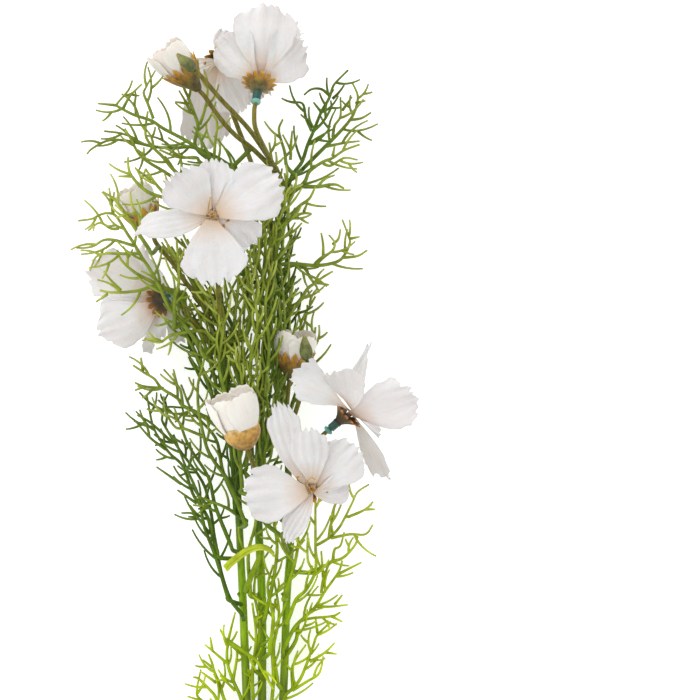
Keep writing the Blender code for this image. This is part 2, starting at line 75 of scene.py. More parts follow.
# %% A node with its settings and links
def add_node(tree, kind, feeds=None, stops=None, **settings):
    node = tree.nodes.new(kind)
    for name, value in settings.items():
        setattr(node, name, value)
    for key, value in (feeds or {}).items():
        if isinstance(value, bpy.types.NodeSocket):
            tree.links.new(value, node.inputs[key])
        else:
            node.inputs[key].default_value = value
    if stops:
        ramp = node.color_ramp
        while len(ramp.elements) < len(stops):
            ramp.elements.new(0.5)
        for element, (place, colour) in zip(ramp.elements, stops):
            element.position, element.color = place, paint(colour)
    return node


def new_finish(name, roughness, **sockets):
    """A material with one Principled shader, whose constant values are set on its own sockets."""
    material = bpy.data.materials.new(name)
    material.use_nodes = True
    shader = material.node_tree.nodes["Principled BSDF"]
    shader.inputs["Roughness"].default_value = roughness
    for key, value in sockets.items():
        shader.inputs[key.replace("_", " ")].default_value = value
    return material, material.node_tree, shader


# %% [markdown]
# The petals are thin woven polyester, cut with a die and pressed hot into shape. The cloth is cool white, a
# little warmer where it is thicker, and brushed with peach at the foot. Fine ribs are pressed in along each
# petal. A painted picture could give all this, but it would blur close up. The cloth's UV map runs from foot
# to tip and from edge to edge, so procedural ribs and blush follow the petal and stay sharp. A real thread is
# 0.2 mm apart, which is too fine to show, so the weave is drawn 0.8 mm apart. The petals of half-open blooms
# are of the same cloth in ivory.

# %% Petal cloth
THREAD_GAP, PETAL_LENGTH, PETAL_WIDTH = 0.8, 35, 24
CREASE_SIZE, CREASE_HEIGHT, RIB_HEIGHT, THREAD_HEIGHT = 7, 1.6, 0.8, 0.2


def petal_cloth(name, dull, clear):
    material, tree, shader = new_finish(
        name, 0.72, Sheen_Weight=0.25, Sheen_Roughness=0.5, IOR=1.46,
        Subsurface_Weight=0.12, Subsurface_Scale=0.002)
    uv = add_node(tree, "ShaderNodeTexCoord")
    parts = add_node(tree, "ShaderNodeSeparateXYZ", {0: uv.outputs["UV"]})
    along_ribs = add_node(tree, "ShaderNodeMapping", {"Vector": uv.outputs["UV"], "Scale": (2.5, 16.0, 1.0)})
    ribs = add_node(tree, "ShaderNodeTexNoise", {
        "Vector": along_ribs.outputs[0], "Scale": 1.0, "Detail": 3.0})
    clouds = add_node(tree, "ShaderNodeTexNoise", {
        "Vector": uv.outputs["Object"], "Scale": 45.0, "Detail": 2.0})
    cloth = add_node(tree, "ShaderNodeValToRGB", {"Fac": clouds.outputs["Fac"]},
                     ((0.35, dull), (0.6, clear)))
    blush = add_node(tree, "ShaderNodeValToRGB", {"Fac": parts.outputs[0]},
                     ((0.0, "#EFCB9E"), (0.06, "#F4DAC0"), (0.22, "#FBF0E6"), (0.42, "#FFFFFF")))
    tinted = add_node(tree, "ShaderNodeMix", {0: 1.0, 6: cloth.outputs["Color"], 7: blush.outputs["Color"]},
                      data_type="RGBA", blend_type="MULTIPLY")
    # Painted shade: the cloth is drawn a little darker in the grooves between its pressed ribs.
    rib_shade = add_node(tree, "ShaderNodeValToRGB", {"Fac": ribs.outputs["Fac"]},
                         ((0.3, "#E6E2DF"), (0.55, "#FFFFFF")))
    rib_shaded = add_node(tree, "ShaderNodeMix", {0: 0.2, 6: tinted.outputs[2], 7: rib_shade.outputs["Color"]},
                      data_type="RGBA", blend_type="MULTIPLY")
    warp = add_node(tree, "ShaderNodeTexWave", {
        "Vector": uv.outputs["UV"], "Scale": wave_scale(THREAD_GAP / PETAL_LENGTH)}, bands_direction="X")
    weft = add_node(tree, "ShaderNodeTexWave", {
        "Vector": uv.outputs["UV"], "Scale": wave_scale(THREAD_GAP / PETAL_WIDTH)}, bands_direction="Y")
    weave = add_node(tree, "ShaderNodeMath", {0: warp.outputs["Fac"], 1: weft.outputs["Fac"]},
                     operation="MULTIPLY")
    creases = add_node(tree, "ShaderNodeTexNoise", {
        "Vector": uv.outputs["Object"], "Scale": 1 / (CREASE_SIZE * MM), "Detail": 2.0, "Distortion": 1.2})
    crease_bump = add_node(tree, "ShaderNodeBump", {
        "Height": creases.outputs["Fac"], "Strength": 0.5, "Distance": CREASE_HEIGHT * MM})
    rib_bump = add_node(tree, "ShaderNodeBump", {
        "Height": ribs.outputs["Fac"], "Strength": 0.4, "Distance": RIB_HEIGHT * MM,
        "Normal": crease_bump.outputs[0]})
    cloth_bump = add_node(tree, "ShaderNodeBump", {
        "Height": weave.outputs[0], "Strength": 0.25, "Distance": THREAD_HEIGHT * MM,
        "Normal": rib_bump.outputs[0]})
    tree.links.new(rib_shaded.outputs[2], shader.inputs["Base Color"])
    tree.links.new(cloth_bump.outputs[0], shader.inputs["Normal"])
    return material


PETAL_CLOTH = petal_cloth("pressed_polyester_petal", "#D6D5D3", "#E0DFDF")
IVORY_CLOTH = petal_cloth("pressed_ivory_polyester_petal", "#E3DCD1", "#EDE7DF")
print("finishes:", PETAL_CLOTH.name, IVORY_CLOTH.name)

# %% [markdown]
# The hard parts of a bloom are moulded in soft polyethylene and brushed with thin paint, which pools in the
# low places. They share one recipe: a ramp of paints from foot to tip along the UV map, a mottling from a
# noise a few millimetres wide, and a bump of the mould's grain. One recipe with stated differences is easier
# to keep alike than six materials built apart.

# %% Moulded and painted plastic
MOTTLE_SIZE = 3


def painted_plastic(name, stops, mottle, roughness, grain_mm, bump_mm, where="UV"):
    material, tree, shader = new_finish(name, roughness, IOR=1.5)
    place = add_node(tree, "ShaderNodeTexCoord")
    if where == "UV":
        share = add_node(tree, "ShaderNodeSeparateXYZ", {0: place.outputs["UV"]}).outputs[0]
    else:
        share = add_node(tree, "ShaderNodeAttribute", attribute_name=where).outputs["Fac"]
    coat = add_node(tree, "ShaderNodeValToRGB", {"Fac": share}, stops)
    patches = add_node(tree, "ShaderNodeTexNoise", {
        "Vector": place.outputs["Object"], "Scale": 1 / (MOTTLE_SIZE * MM), "Detail": 3.0})
    pooled = add_node(tree, "ShaderNodeValToRGB", {"Fac": patches.outputs["Fac"]},
                      ((0.35, mottle), (0.62, "#FFFFFF")))
    colour = add_node(tree, "ShaderNodeMix", {0: 0.7, 6: coat.outputs["Color"], 7: pooled.outputs["Color"]},
                      data_type="RGBA", blend_type="MULTIPLY")
    grain = add_node(tree, "ShaderNodeTexNoise", {
        "Vector": place.outputs["Object"], "Scale": 1 / (grain_mm * MM), "Detail": 2.0})
    bump = add_node(tree, "ShaderNodeBump", {
        "Height": grain.outputs["Fac"], "Strength": 0.6, "Distance": bump_mm * MM})
    tree.links.new(colour.outputs[2], shader.inputs["Base Color"])
    tree.links.new(bump.outputs[0], shader.inputs["Normal"])
    return material


CALYX_PLASTIC = painted_plastic(
    "brushed_ochre_polyethylene",
    ((0.0, "#57501F"), (0.4, "#75661F"), (0.62, "#A67C1E"), (0.85, "#CC9424"), (1.0, "#DDA93C")),
    mottle="#8A7440", roughness=0.5, grain_mm=0.8, bump_mm=0.15)
DARK_CALYX_PLASTIC = painted_plastic(
    "brushed_umber_polyethylene", ((0.0, "#3A2C12"), (0.55, "#574119"), (0.85, "#A9702F"), (1.0, "#DDA05A")),
    mottle="#7A6040", roughness=0.5, grain_mm=0.8, bump_mm=0.15)
DOME_PLASTIC = painted_plastic(
    "grained_gold_polyethylene", ((0.0, "#8B6A2A"), (0.4, "#BE9240"), (0.8, "#D2A654"), (1.0, "#E9D3A2")),
    mottle="#A07A34", roughness=0.6, grain_mm=1.1, bump_mm=0.7)
COLLAR_PLASTIC = painted_plastic(
    "teal_polyethylene", ((0.0, "#7FB8AC"), (0.26, "#5F9E96"), (0.32, "#2A5F52"), (1.0, "#1F4A40")),
    mottle="#BFD0C8", roughness=0.28, grain_mm=1.5, bump_mm=0.05)
STAMEN_PLASTIC = painted_plastic(
    "flocked_amber_polyethylene", ((0.0, "#C7A468"), (0.5, "#B98E48"), (1.0, "#D6A04A")),
    mottle="#B08A50", roughness=0.6, grain_mm=0.4, bump_mm=0.1, where="tint")
BUD_PLASTIC = painted_plastic(
    "olive_polyethylene", ((0.0, "#55602A"), (0.5, "#767A3C"), (0.85, "#8A8A48"), (1.0, "#B9A868")),
    mottle="#7F8A58", roughness=0.45, grain_mm=1.6, bump_mm=0.12)
# The tape's colour follows the winding's saw-tooth: it is darker at the foot of each step, as painted shade
# under the edge above.
TIE_TAPE = painted_plastic(
    "crepe_florist_tape", ((0.0, "#55742F"), (1.0, "#6B8C3A")),
    mottle="#8FA070", roughness=0.75, grain_mm=0.5, bump_mm=0.3)
for material in (CALYX_PLASTIC, DARK_CALYX_PLASTIC, DOME_PLASTIC, COLLAR_PLASTIC, STAMEN_PLASTIC, BUD_PLASTIC,
                 TIE_TAPE):
    print("finish:", material.name)


# %% [markdown]
# Stems and leaves come from the mould in dark green. Their ends are dipped in a yellow-green dye, and the
# dye is strongest low on the bunch. Each leaf mesh carries an attribute, tint, that is 0 in the thick wood
# and 1 at the thin tips, and one, shade, that darkens that leaf's green: partly its own deeper green, partly
# painted shade where sprigs lie deep in the bunch. The height along the bunch is the object's Y. A material
# for each leaf could do the same, but one that reads its mesh is enough.

# %% Leaf plastic
DYE_FADES, DYE_FULL, STREAK_SIZE, STREAK_HEIGHT = -10, -70, 6, 0.3


def leaf_plastic():
    material, tree, shader = new_finish("dyed_leaf_polyethylene", 0.5, IOR=1.45, Specular_IOR_Level=0.2)
    where = add_node(tree, "ShaderNodeTexCoord")
    tint = add_node(tree, "ShaderNodeAttribute", attribute_name="tint")
    shade = add_node(tree, "ShaderNodeAttribute", attribute_name="shade")
    upper = add_node(tree, "ShaderNodeValToRGB", {"Fac": tint.outputs["Fac"]},
                     ((0.0, "#74882A"), (0.35, "#98A83A"), (0.7, "#B6C04C"), (1.0, "#CACE6A")))
    lower = add_node(tree, "ShaderNodeValToRGB", {"Fac": tint.outputs["Fac"]},
                     ((0.0, "#90AC0A"), (0.4, "#A8C00C"), (0.75, "#BCCE16"), (1.0, "#CCDA30")))
    parts = add_node(tree, "ShaderNodeSeparateXYZ", {0: where.outputs["Object"]})
    low_down = add_node(tree, "ShaderNodeMapRange", {
        "Value": parts.outputs[1], "From Min": DYE_FADES * MM, "From Max": DYE_FULL * MM})
    green = add_node(tree, "ShaderNodeMix", {
        0: low_down.outputs[0], 6: upper.outputs["Color"], 7: lower.outputs["Color"]}, data_type="RGBA")
    # Painted shade, in part: the shade attribute mixes the green towards a deep green, both for a leaf's own
    # deeper green and for the shade deep in the bunch.
    deep_green_and_shade = add_node(tree, "ShaderNodeMix", {
        0: shade.outputs["Fac"], 6: green.outputs[2], 7: paint("#4A6C16")}, data_type="RGBA")
    streaks = add_node(tree, "ShaderNodeTexNoise", {
        "Vector": where.outputs["Object"], "Scale": 1 / (STREAK_SIZE * MM), "Detail": 2.0})
    worn = add_node(tree, "ShaderNodeValToRGB", {"Fac": streaks.outputs["Fac"]},
                    ((0.35, "#C6C6A0"), (0.6, "#FFFFFF")))
    colour = add_node(tree, "ShaderNodeMix", {0: 0.8, 6: deep_green_and_shade.outputs[2], 7: worn.outputs["Color"]},
                      data_type="RGBA", blend_type="MULTIPLY")
    bump = add_node(tree, "ShaderNodeBump", {
        "Height": streaks.outputs["Fac"], "Strength": 0.3, "Distance": STREAK_HEIGHT * MM})
    tree.links.new(colour.outputs[2], shader.inputs["Base Color"])
    tree.links.new(bump.outputs[0], shader.inputs["Normal"])
    return material


LEAF_PLASTIC = leaf_plastic()
print("finish:", LEAF_PLASTIC.name)


# %% [markdown]
# The stems are a polyethylene cover drawn over steel wire. Drawing leaves fine lines along the stem. A noise
# that is stretched along Y gives such lines, because the stems run nearly along Y. The cover is olive at its
# lower end, lime below the blooms, deep green at the middle of the bunch and olive again above it. Side
# stalks are olive-brown, which the tint attribute of their mesh gives.

# %% Stem plastic
BUNCH_FOOT, BUNCH_TOP, LINE_HEIGHT = -230, 200, 0.3


def stem_plastic():
    material, tree, shader = new_finish("drawn_stem_polyethylene", 0.45, IOR=1.45, Specular_IOR_Level=0.25)
    where = add_node(tree, "ShaderNodeTexCoord")
    parts = add_node(tree, "ShaderNodeSeparateXYZ", {0: where.outputs["Object"]})
    height = add_node(tree, "ShaderNodeMapRange", {
        "Value": parts.outputs[1], "From Min": BUNCH_FOOT * MM, "From Max": BUNCH_TOP * MM})
    bands = add_node(tree, "ShaderNodeValToRGB", {"Fac": height.outputs[0]}, (
        (0.0, "#5E7420"), (0.24, "#728E1A"), (0.33, "#9CC80A"), (0.4, "#8CBA0C"), (0.46, "#4C7A30"),
        (0.6, "#587222"), (1.0, "#74702C")))
    tint = add_node(tree, "ShaderNodeAttribute", attribute_name="tint")
    stalk = add_node(tree, "ShaderNodeMix", {
        0: tint.outputs["Fac"], 6: bands.outputs["Color"], 7: paint("#7E742C")}, data_type="RGBA")
    drawn = add_node(tree, "ShaderNodeMapping", {
        "Vector": where.outputs["Object"], "Scale": (700.0, 30.0, 700.0)})
    lines = add_node(tree, "ShaderNodeTexNoise", {"Vector": drawn.outputs[0], "Scale": 1.0, "Detail": 3.0})
    worn = add_node(tree, "ShaderNodeValToRGB", {"Fac": lines.outputs["Fac"]},
                    ((0.3, "#A4A66A"), (0.62, "#FFFFFF")))
    colour = add_node(tree, "ShaderNodeMix", {0: 0.8, 6: stalk.outputs[2], 7: worn.outputs["Color"]},
                      data_type="RGBA", blend_type="MULTIPLY")
    bump = add_node(tree, "ShaderNodeBump", {
        "Height": lines.outputs["Fac"], "Strength": 0.35, "Distance": LINE_HEIGHT * MM})
    tree.links.new(colour.outputs[2], shader.inputs["Base Color"])
    tree.links.new(bump.outputs[0], shader.inputs["Normal"])
    return material


STEM_PLASTIC = stem_plastic()
print("finish:", STEM_PLASTIC.name)


# %% [markdown]
# A finished piece is an object at the origin, with its place in its mesh. One function makes it from points
# and faces, gives it its finish and its UV map, and says which CAD nodes it stands for. Sheets of cloth get
# their thickness from a Solidify modifier, which also closes them.

# %% A finished piece
PIECES = []


def register(piece, nodes):
    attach(piece, "root")
    if nodes:
        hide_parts(*nodes)
    PIECES.append(piece)
    return piece


def make_piece(name, points, faces, uvs, finish, nodes, thickness=0.0):
    mesh = bpy.data.meshes.new(name)
    mesh.from_pydata([Vector(p) * MM for p in points], [], faces)
    layer = mesh.uv_layers.new(name="UVMap")
    for corner in mesh.loops:
        layer.data[corner.index].uv = uvs[corner.vertex_index]
    mesh.polygons.foreach_set("use_smooth", [True] * len(mesh.polygons))
    mesh.materials.append(finish)
    piece = bpy.data.objects.new(name, mesh)
    bpy.context.scene.collection.objects.link(piece)
    if thickness:
        solid = piece.modifiers.new("cloth", "SOLIDIFY")
        solid.thickness = thickness * MM
        solid.offset = 0.0
    return register(piece, nodes)


# %% [markdown]
# A few curves serve every piece: a smooth path through points, a cubic between two ends, two directions
# square to an axis, and the points round it. Blender's own curve objects could give the first two, but plain
# functions also say which way the curve runs at each point.

# %% Curves and directions
def smooth_path(points, steps):
    knots = [Vector(p) for p in points]
    knots = [2 * knots[0] - knots[1]] + knots + [2 * knots[-1] - knots[-2]]
    path = []
    for a, b, c, d in zip(knots, knots[1:], knots[2:], knots[3:]):
        for k in range(steps):
            t = k / steps
            path.append(0.5 * (2 * b + (c - a) * t + (2 * a - 5 * b + 4 * c - d) * t * t
                               + (3 * b - a - 3 * c + d) * t ** 3))
    path.append(knots[-2])
    return path


def bezier(controls, t):
    a, b, c, d = controls
    s = 1 - t
    point = a * s ** 3 + 3 * b * s * s * t + 3 * c * s * t * t + d * t ** 3
    along = 3 * s * s * (b - a) + 6 * s * t * (c - b) + 3 * t * t * (d - c)
    return point, along.normalized()


def across(direction):
    direction = Vector(direction).normalized()
    helper = Vector((0, 0, 1)) if abs(direction.z) < 0.9 else Vector((1, 0, 0))
    first = helper.cross(direction).normalized()
    return first, direction.cross(first)


def round_axis(centre, axis):
    """A function from a height along an axis, a distance from it and an angle round it to the point there."""
    centre, axis = Vector(centre), Vector(axis).normalized()
    first, second = across(axis)

    def at(height, reach, angle):
        return centre + axis * height + reach * (math.cos(angle) * first + math.sin(angle) * second)
    return at


def grid_faces(rows, columns, start=0, closed=False):
    """Faces of a grid, its points numbered row by row. A closed grid joins its last column to its first."""
    faces = []
    for r in range(rows - 1):
        for c in range(columns if closed else columns - 1):
            after = (c + 1) % columns
            faces.append((start + r * columns + c, start + r * columns + after,
                          start + (r + 1) * columns + after, start + (r + 1) * columns + c))
    return faces


# %% [markdown]
# Each open bloom has a centre, the way it faces, and six petals with tip, width and roll. They are the CAD's
# own, but for one tip that the thin cloth carries further. The petals are shared between two die-cut layers.

# %% The open blooms
BLOOMS = {
    "bloom_top": ((5, 192, 66), (0.12, 0.75, -0.65), (
        ((9, 232, 60), 32, 0), ((27, 212, 57), 28, -30), ((-14, 215, 56), 27, 30),
        ((-4, 225, 42), 22, 0), ((25, 219, 32), 20, 0), ((8, 202, 30), 20, 0))),
    "bloom_behind": ((-15, 202, 34), (0.10, -0.55, 0.83), (
        ((-4, 176, 45), 20, 15), ((6, 208, 20), 18, 0), ((-10, 218, 28), 14, 0),
        ((-25, 157, 6), 25, 0), ((8, 184, 14), 20, 0), ((-36, 194, 14), 14, 0))),
    "bloom_centre": ((-19, 122, 98), (0.00, -0.10, 0.99), (
        ((-39, 144, 111), 26, 0), ((16, 141, 102), 30, 0), ((-17, 86, 92), 32, 0),
        ((-18, 151, 104), 20, 0), ((-60, 114, 93), 17, 65), ((1, 104, 82), 24, 0))),
    "bloom_left": ((-48, 78, 40), (-0.60, -0.10, -0.78), (
        ((-76, 78, 14), 20, 0), ((-57, 104, 8), 22, 0), ((-50, 54, 4), 22, 0),
        ((-84, 96, 34), 26, -25), ((-79, 61, 27), 26, 20), ((-33, 60, 16), 22, 0))),
    "bloom_right": ((52, 20, 68), (0.70, 0.60, 0.15), (
        ((48, 42, 92), 22, 60), ((62, 56, 56), 20, 40), ((68, 8, 62), 16, 0),
        ((22, 40, 76), 26, -50), ((86, 28, 84), 28, -45), ((70, -16, 48), 24, -30))),
    "bloom_front": ((32, -19, 90), (0.10, -0.25, 0.96), (
        ((30, 11, 102), 19, 0), ((18, -47, 84), 13, 60), ((52, -17, 81), 18, 0),
        ((14, 25, 84), 16, 0), ((-3, -23, 92), 30, 0), ((56, 2, 92), 25, 0))),
}
DARK_CALYX = ("bloom_left", "bloom_right")
HUB_RADIUS = 2.2
LAYER_RISE = 1.5
PETAL_ROWS = 30
PETAL_COLUMNS = 26
CLOTH = 0.3
PETAL_SPREAD = 1.06
GATHERED_WIDTH = 21
print("open blooms:", len(BLOOMS))


# %% [markdown]
# A petal is one sheet. It is narrow at its foot and widest near its tip, which the die cuts into small
# lobes. Hot pressing gives it long folds and a wavy rim. The sheet follows a cubic from the hub to the tip,
# and the folds are waves across it that grow towards the rim. A narrow petal is one that was gathered, so its
# pleats are deeper. Flat cards with a cut-out image would be lighter, but they have no folds to catch light.

# %% The shape of one petal
def petal_half_width(t):
    body = 0.17 + 0.83 * math.sin(math.pi * min(t, 0.7) / 1.4) ** 1.1
    return body - 0.26 * (max(0.0, t - 0.7) / 0.3) ** 1.5


def petal_frame(centre, axis, slot, petal):
    """A function from the share of a petal's length to its point, its side and its face direction."""
    tip, _, roll = petal
    foot, tip = centre + slot * HUB_RADIUS, Vector(tip)
    reach, straight = (tip - foot).length, (tip - foot).normalized()
    bend = (slot * 0.45 + straight * 0.55).normalized()
    controls = (foot, foot + bend * reach * 0.35, tip - straight * reach * 0.35, tip)
    level = (tip - centre - axis * axis.dot(tip - centre)).normalized()

    def at(t):
        point, along = bezier(controls, t)
        outward = slot.lerp(level, t)
        face = axis * along.dot(outward) - outward * along.dot(axis)
        face = (face - along * face.dot(along)).normalized()
        side, turn = along.cross(face), math.radians(roll) * t
        face, side = (face * math.cos(turn) + side * math.sin(turn),
                      side * math.cos(turn) - face * math.sin(turn))
        ease = min(1.0, t / 0.2)
        return point, slot.cross(axis).lerp(side, ease).normalized(), axis.lerp(face, ease).normalized()
    return at


def petal_grid(frame_at, width, chance):
    """Points of one petal, row by row from foot to tip, and their UVs."""
    waves, lobes = chance.uniform(0.8, 1.5), chance.choice((6, 7, 8))
    pleat = 1.1 if width < GATHERED_WIDTH else 0.3
    shift, slant = chance.uniform(0, 6.28), chance.uniform(-0.8, 0.8)
    ruffle, curl = width * chance.uniform(0.06, 0.10), chance.uniform(-1.0, 2.6)
    points, uvs = [], []
    for r in range(PETAL_ROWS + 1):
        for c in range(PETAL_COLUMNS + 1):
            v = 2 * c / PETAL_COLUMNS - 1
            t = r / PETAL_ROWS
            notch = 0.065 * (1 - abs(math.cos(lobes * math.pi * v / 2 + shift)) ** 0.5)
            notch += 0.022 * math.sin(19 * v + 3 * shift) + 0.018 * math.sin(11 * v + shift)
            t *= 1 - 0.19 * abs(v) ** 2.4 - notch * t ** 6
            point, side, face = frame_at(t)
            half = width * PETAL_SPREAD / 2 * petal_half_width(t)
            lift = 0.10 * half * v * v * t
            lift += ruffle * t ** 1.6 * math.sin(2 * math.pi * waves * v / 2 + shift + 2.2 * t)
            lift += 0.45 * ruffle * t ** 3 * math.sin(2 * math.pi * 2.4 * v + slant * 4)
            lift += 0.25 * ruffle * t ** 5 * math.sin(2 * math.pi * 4.3 * v + shift)
            lift += pleat * t * (1 - 0.4 * t) * math.cos(9 * math.pi * v / 2)
            lift -= curl * max(0.0, t - 0.72) ** 2 / 0.08
            frill = 1 + 0.05 * t * math.sin(15 * t + shift) + 0.035 * t * math.sin(33 * t + slant * 9)
            points.append(point + side * half * v * frill + face * lift)
            uvs.append((r / PETAL_ROWS, (v + 1) / 2))
    return points, uvs


print("petal width at its foot, middle and tip:", [round(petal_half_width(t), 2) for t in (0.0, 0.5, 1.0)])


# %% [markdown]
# A layer is three petals and the hub between them, in one sheet, as the die cuts it. Going round the hub, the
# petals belong to the front and the back layer in turn. Six loose petals would be simpler, but then light
# shows between them at the hub. A petal that would dip below the table lies on it.

# %% The petal layers
TABLE_GAP = 0.5


def petal_slots(centre, axis, petals):
    first, second = across(axis)
    turns = []
    for petal in petals:
        out = Vector(petal[0]) - centre
        turns.append((math.atan2(out.dot(second), out.dot(first)) % (2 * math.pi), petal))
    turns.sort(key=lambda item: item[0])
    phase = sum(angle - math.pi * k / 3 for k, (angle, _) in enumerate(turns)) / 6
    slots = []
    for k, (_, petal) in enumerate(turns):
        angle = phase + math.pi * k / 3
        slots.append((first * math.cos(angle) + second * math.sin(angle), petal))
    return sorted((slots[0::2], slots[1::2]),
                  key=lambda layer: -sum(axis.dot(petal[0]) for _, petal in layer))


def lie_on_table(point):
    return Vector((point.x, point.y, max(point.z, TABLE_GAP)))


def make_petal_layer(node, centre, axis, slots, seed):
    chance = random.Random(seed)
    points, faces, uvs, rim = [centre], [], [(0.0, 0.5)], []
    for slot, petal in slots:
        start = len(points)
        grid, grid_uvs = petal_grid(petal_frame(centre, axis, slot, petal), petal[1], chance)
        points += [lie_on_table(p) for p in grid]
        uvs += grid_uvs
        faces += grid_faces(PETAL_ROWS + 1, PETAL_COLUMNS + 1, start)
        rim += list(range(start + PETAL_COLUMNS, start - 1, -1))
    faces += [(0, b, a) for a, b in zip(rim, rim[1:] + rim[:1])]
    return make_piece(node.replace("petals", "cloth"), points, faces, uvs, PETAL_CLOTH, [node],
                      CLOTH)


for number, (bloom, (centre, axis, petals)) in enumerate(BLOOMS.items()):
    centre, axis = Vector(centre), Vector(axis).normalized()
    front, back = petal_slots(centre, axis, petals)
    make_petal_layer(f"{bloom}_petals_front", centre + axis * LAYER_RISE, axis, front, 2 * number)
    make_petal_layer(f"{bloom}_petals_back", centre, axis, back, 2 * number + 1)
print("petal layers:", len(PIECES))


# %% [markdown]
# Below the petals sits the calyx, a moulded cup whose rim is cut into round-ended teeth that lie against the
# cloth. It is a grid round the axis. Each column stops where the tooth's edge is, and each tooth is ridged.
# Cutting the teeth with booleans would work too, but a grid keeps the UV map that the paint follows.

# %% The calyces
CALYX_DEPTH = 8.0
CALYX_RADIUS = 5.8
CALYX_FOOT_SHARE, CALYX_FLARE = 0.36, 1.6
CALYX_WALL = 0.5
TEETH = 13
COLUMNS_PER_TOOTH = 8
TOOTH_COLUMNS = TEETH * COLUMNS_PER_TOOTH


def tooth_at(column):
    """How near a column is to the middle of its tooth, and the share of the cup's height that it reaches."""
    tooth = 1 - abs(2 * (column % COLUMNS_PER_TOOTH) / COLUMNS_PER_TOOTH - 1)
    return tooth, 0.6 + 0.4 * tooth ** 0.55


def make_calyx(bloom, centre, axis, finish):
    place, rows = round_axis(centre, axis), 12
    points, uvs = [], []
    for r in range(rows + 1):
        for c in range(TOOTH_COLUMNS):
            _, top = tooth_at(c)
            s = r / rows * top
            ridge = 0.5 * s * math.sin(math.pi * (c % COLUMNS_PER_TOOTH) / COLUMNS_PER_TOOTH)
            flare = CALYX_FOOT_SHARE + (CALYX_FLARE - CALYX_FOOT_SHARE) * s ** 1.3
            reach = CALYX_RADIUS * flare + 0.5 * ridge
            height = -CALYX_DEPTH * (1 - s) ** 1.25 - 0.8 * s - ridge
            points.append(place(height, reach, 2 * math.pi * c / TOOTH_COLUMNS))
            uvs.append((s, c / TOOTH_COLUMNS))
    foot = len(points)
    points.append(place(-CALYX_DEPTH, 0.0, 0.0))
    uvs.append((0.0, 0.5))
    faces = grid_faces(rows + 1, TOOTH_COLUMNS, closed=True)
    faces += [(foot, (c + 1) % TOOTH_COLUMNS, c) for c in range(TOOTH_COLUMNS)]
    return make_piece(f"{bloom}_toothed_cup", points, faces, uvs, finish, [f"{bloom}_calyx"],
                      CALYX_WALL)


for bloom, (centre, axis, _) in BLOOMS.items():
    make_calyx(bloom, centre, axis, DARK_CALYX_PLASTIC if bloom in DARK_CALYX else CALYX_PLASTIC)
print("pieces:", len(PIECES))


# %% [markdown]
# Collars and buds are turned shapes: an outline swept round an axis. A collar has a straight sleeve, a lip
# and a bead below it. A bud is a drop whose closed petals show as five shallow ribs. A Screw modifier turns
# an outline too, but it has no ribs and gives no UV map, so the points are laid out here.

# %% Turned parts
def make_turned(name, nodes, centre, axis, profile, finish, ribs=0, rib_depth=0.0, sides=28):
    place = round_axis(centre, axis)
    low, high = profile[0][0], profile[-1][0]
    points, uvs = [place(low, 0.0, 0.0)], [(0.0, 0.5)]
    for height, radius in profile:
        share = (height - low) / (high - low)
        for k in range(sides):
            angle = 2 * math.pi * k / sides
            reach = radius * (1 - rib_depth * abs(math.cos(ribs * angle / 2 + 2 * share)) ** 3)
            points.append(place(height, reach, angle))
            uvs.append((share, k / sides))
    points.append(place(high, 0.0, 0.0))
    uvs.append((1.0, 0.5))
    faces = grid_faces(len(profile), sides, 1, closed=True)
    last = len(points) - 1
    faces += [(0, 1 + (k + 1) % sides, 1 + k) for k in range(sides)]
    faces += [(last, last - sides + k, last - sides + (k + 1) % sides) for k in range(sides)]
    return make_piece(name, points, faces, uvs, finish, nodes)


# %% The collars
COLLAR_GAP = 0.3
COLLAR_LENGTH = 5.5
COLLAR_RADIUS = 2.2
# Each pair is a height above the collar's foot and a share of its radius: neck, sleeve, lip.
COLLAR_OUTLINE = ((0.3, 0.78), (0.5, 1.0), (4.4, 1.0), (4.5, 1.12), (5.4, 1.12), (5.5, 1.0))
BEAD_LENGTH, BEAD_RINGS = 2.5, 8
BEAD_RADIUS = 2.7
for bloom, (centre, axis, _) in BLOOMS.items():
    low = -CALYX_DEPTH - COLLAR_GAP - COLLAR_LENGTH
    profile = []
    for k in range(BEAD_RINGS + 1):
        bulge = math.sin(math.pi * (k + 1) / (BEAD_RINGS + 2)) ** 0.6
        profile.append((low - BEAD_LENGTH + BEAD_LENGTH * k / BEAD_RINGS, BEAD_RADIUS * bulge))
    profile += [(low + rise, COLLAR_RADIUS * share) for rise, share in COLLAR_OUTLINE]
    make_turned(f"{bloom}_sleeve", [f"{bloom}_collar"], centre, axis, profile, COLLAR_PLASTIC)
print("pieces:", len(PIECES))

# %% The buds
BUDS = {"bud_top": ((-33, 201, 83), (-0.70, 0.65, 0.20), 13.0, 4.0),
        "bud_middle": ((29, 53, 62), (-0.10, 0.95, 0.20), 14.0, 3.9),
        "bud_low": ((17, -32, 62), (-0.10, 0.90, 0.30), 12.0, 3.5)}
BUD_RIBS, BUD_RIB_DEPTH, BUD_RINGS, BUD_SIDES = 5, 0.16, 16, 40
for bud, (centre, axis, length, radius) in BUDS.items():
    profile = []
    for k in range(BUD_RINGS + 1):
        share = k / BUD_RINGS
        belly = 0.22 + 0.78 * math.sin(math.pi * share ** 0.75)
        profile.append((length * (share - 0.5), radius * belly * (1 - 0.25 * share)))
    make_turned(f"{bud}_drop", [bud], centre, axis, profile, BUD_PLASTIC, BUD_RIBS,
                BUD_RIB_DEPTH, BUD_SIDES)
print("pieces:", len(PIECES))


# %% [markdown]
# The half-open blooms are cups of overlapping petals. One turned cup would be simpler, but its rim would show
# no petals. So each petal is a curved sheet round the cup's axis, and every second one lies a little further
# in, so that the edges overlap as wrapped cloth does.

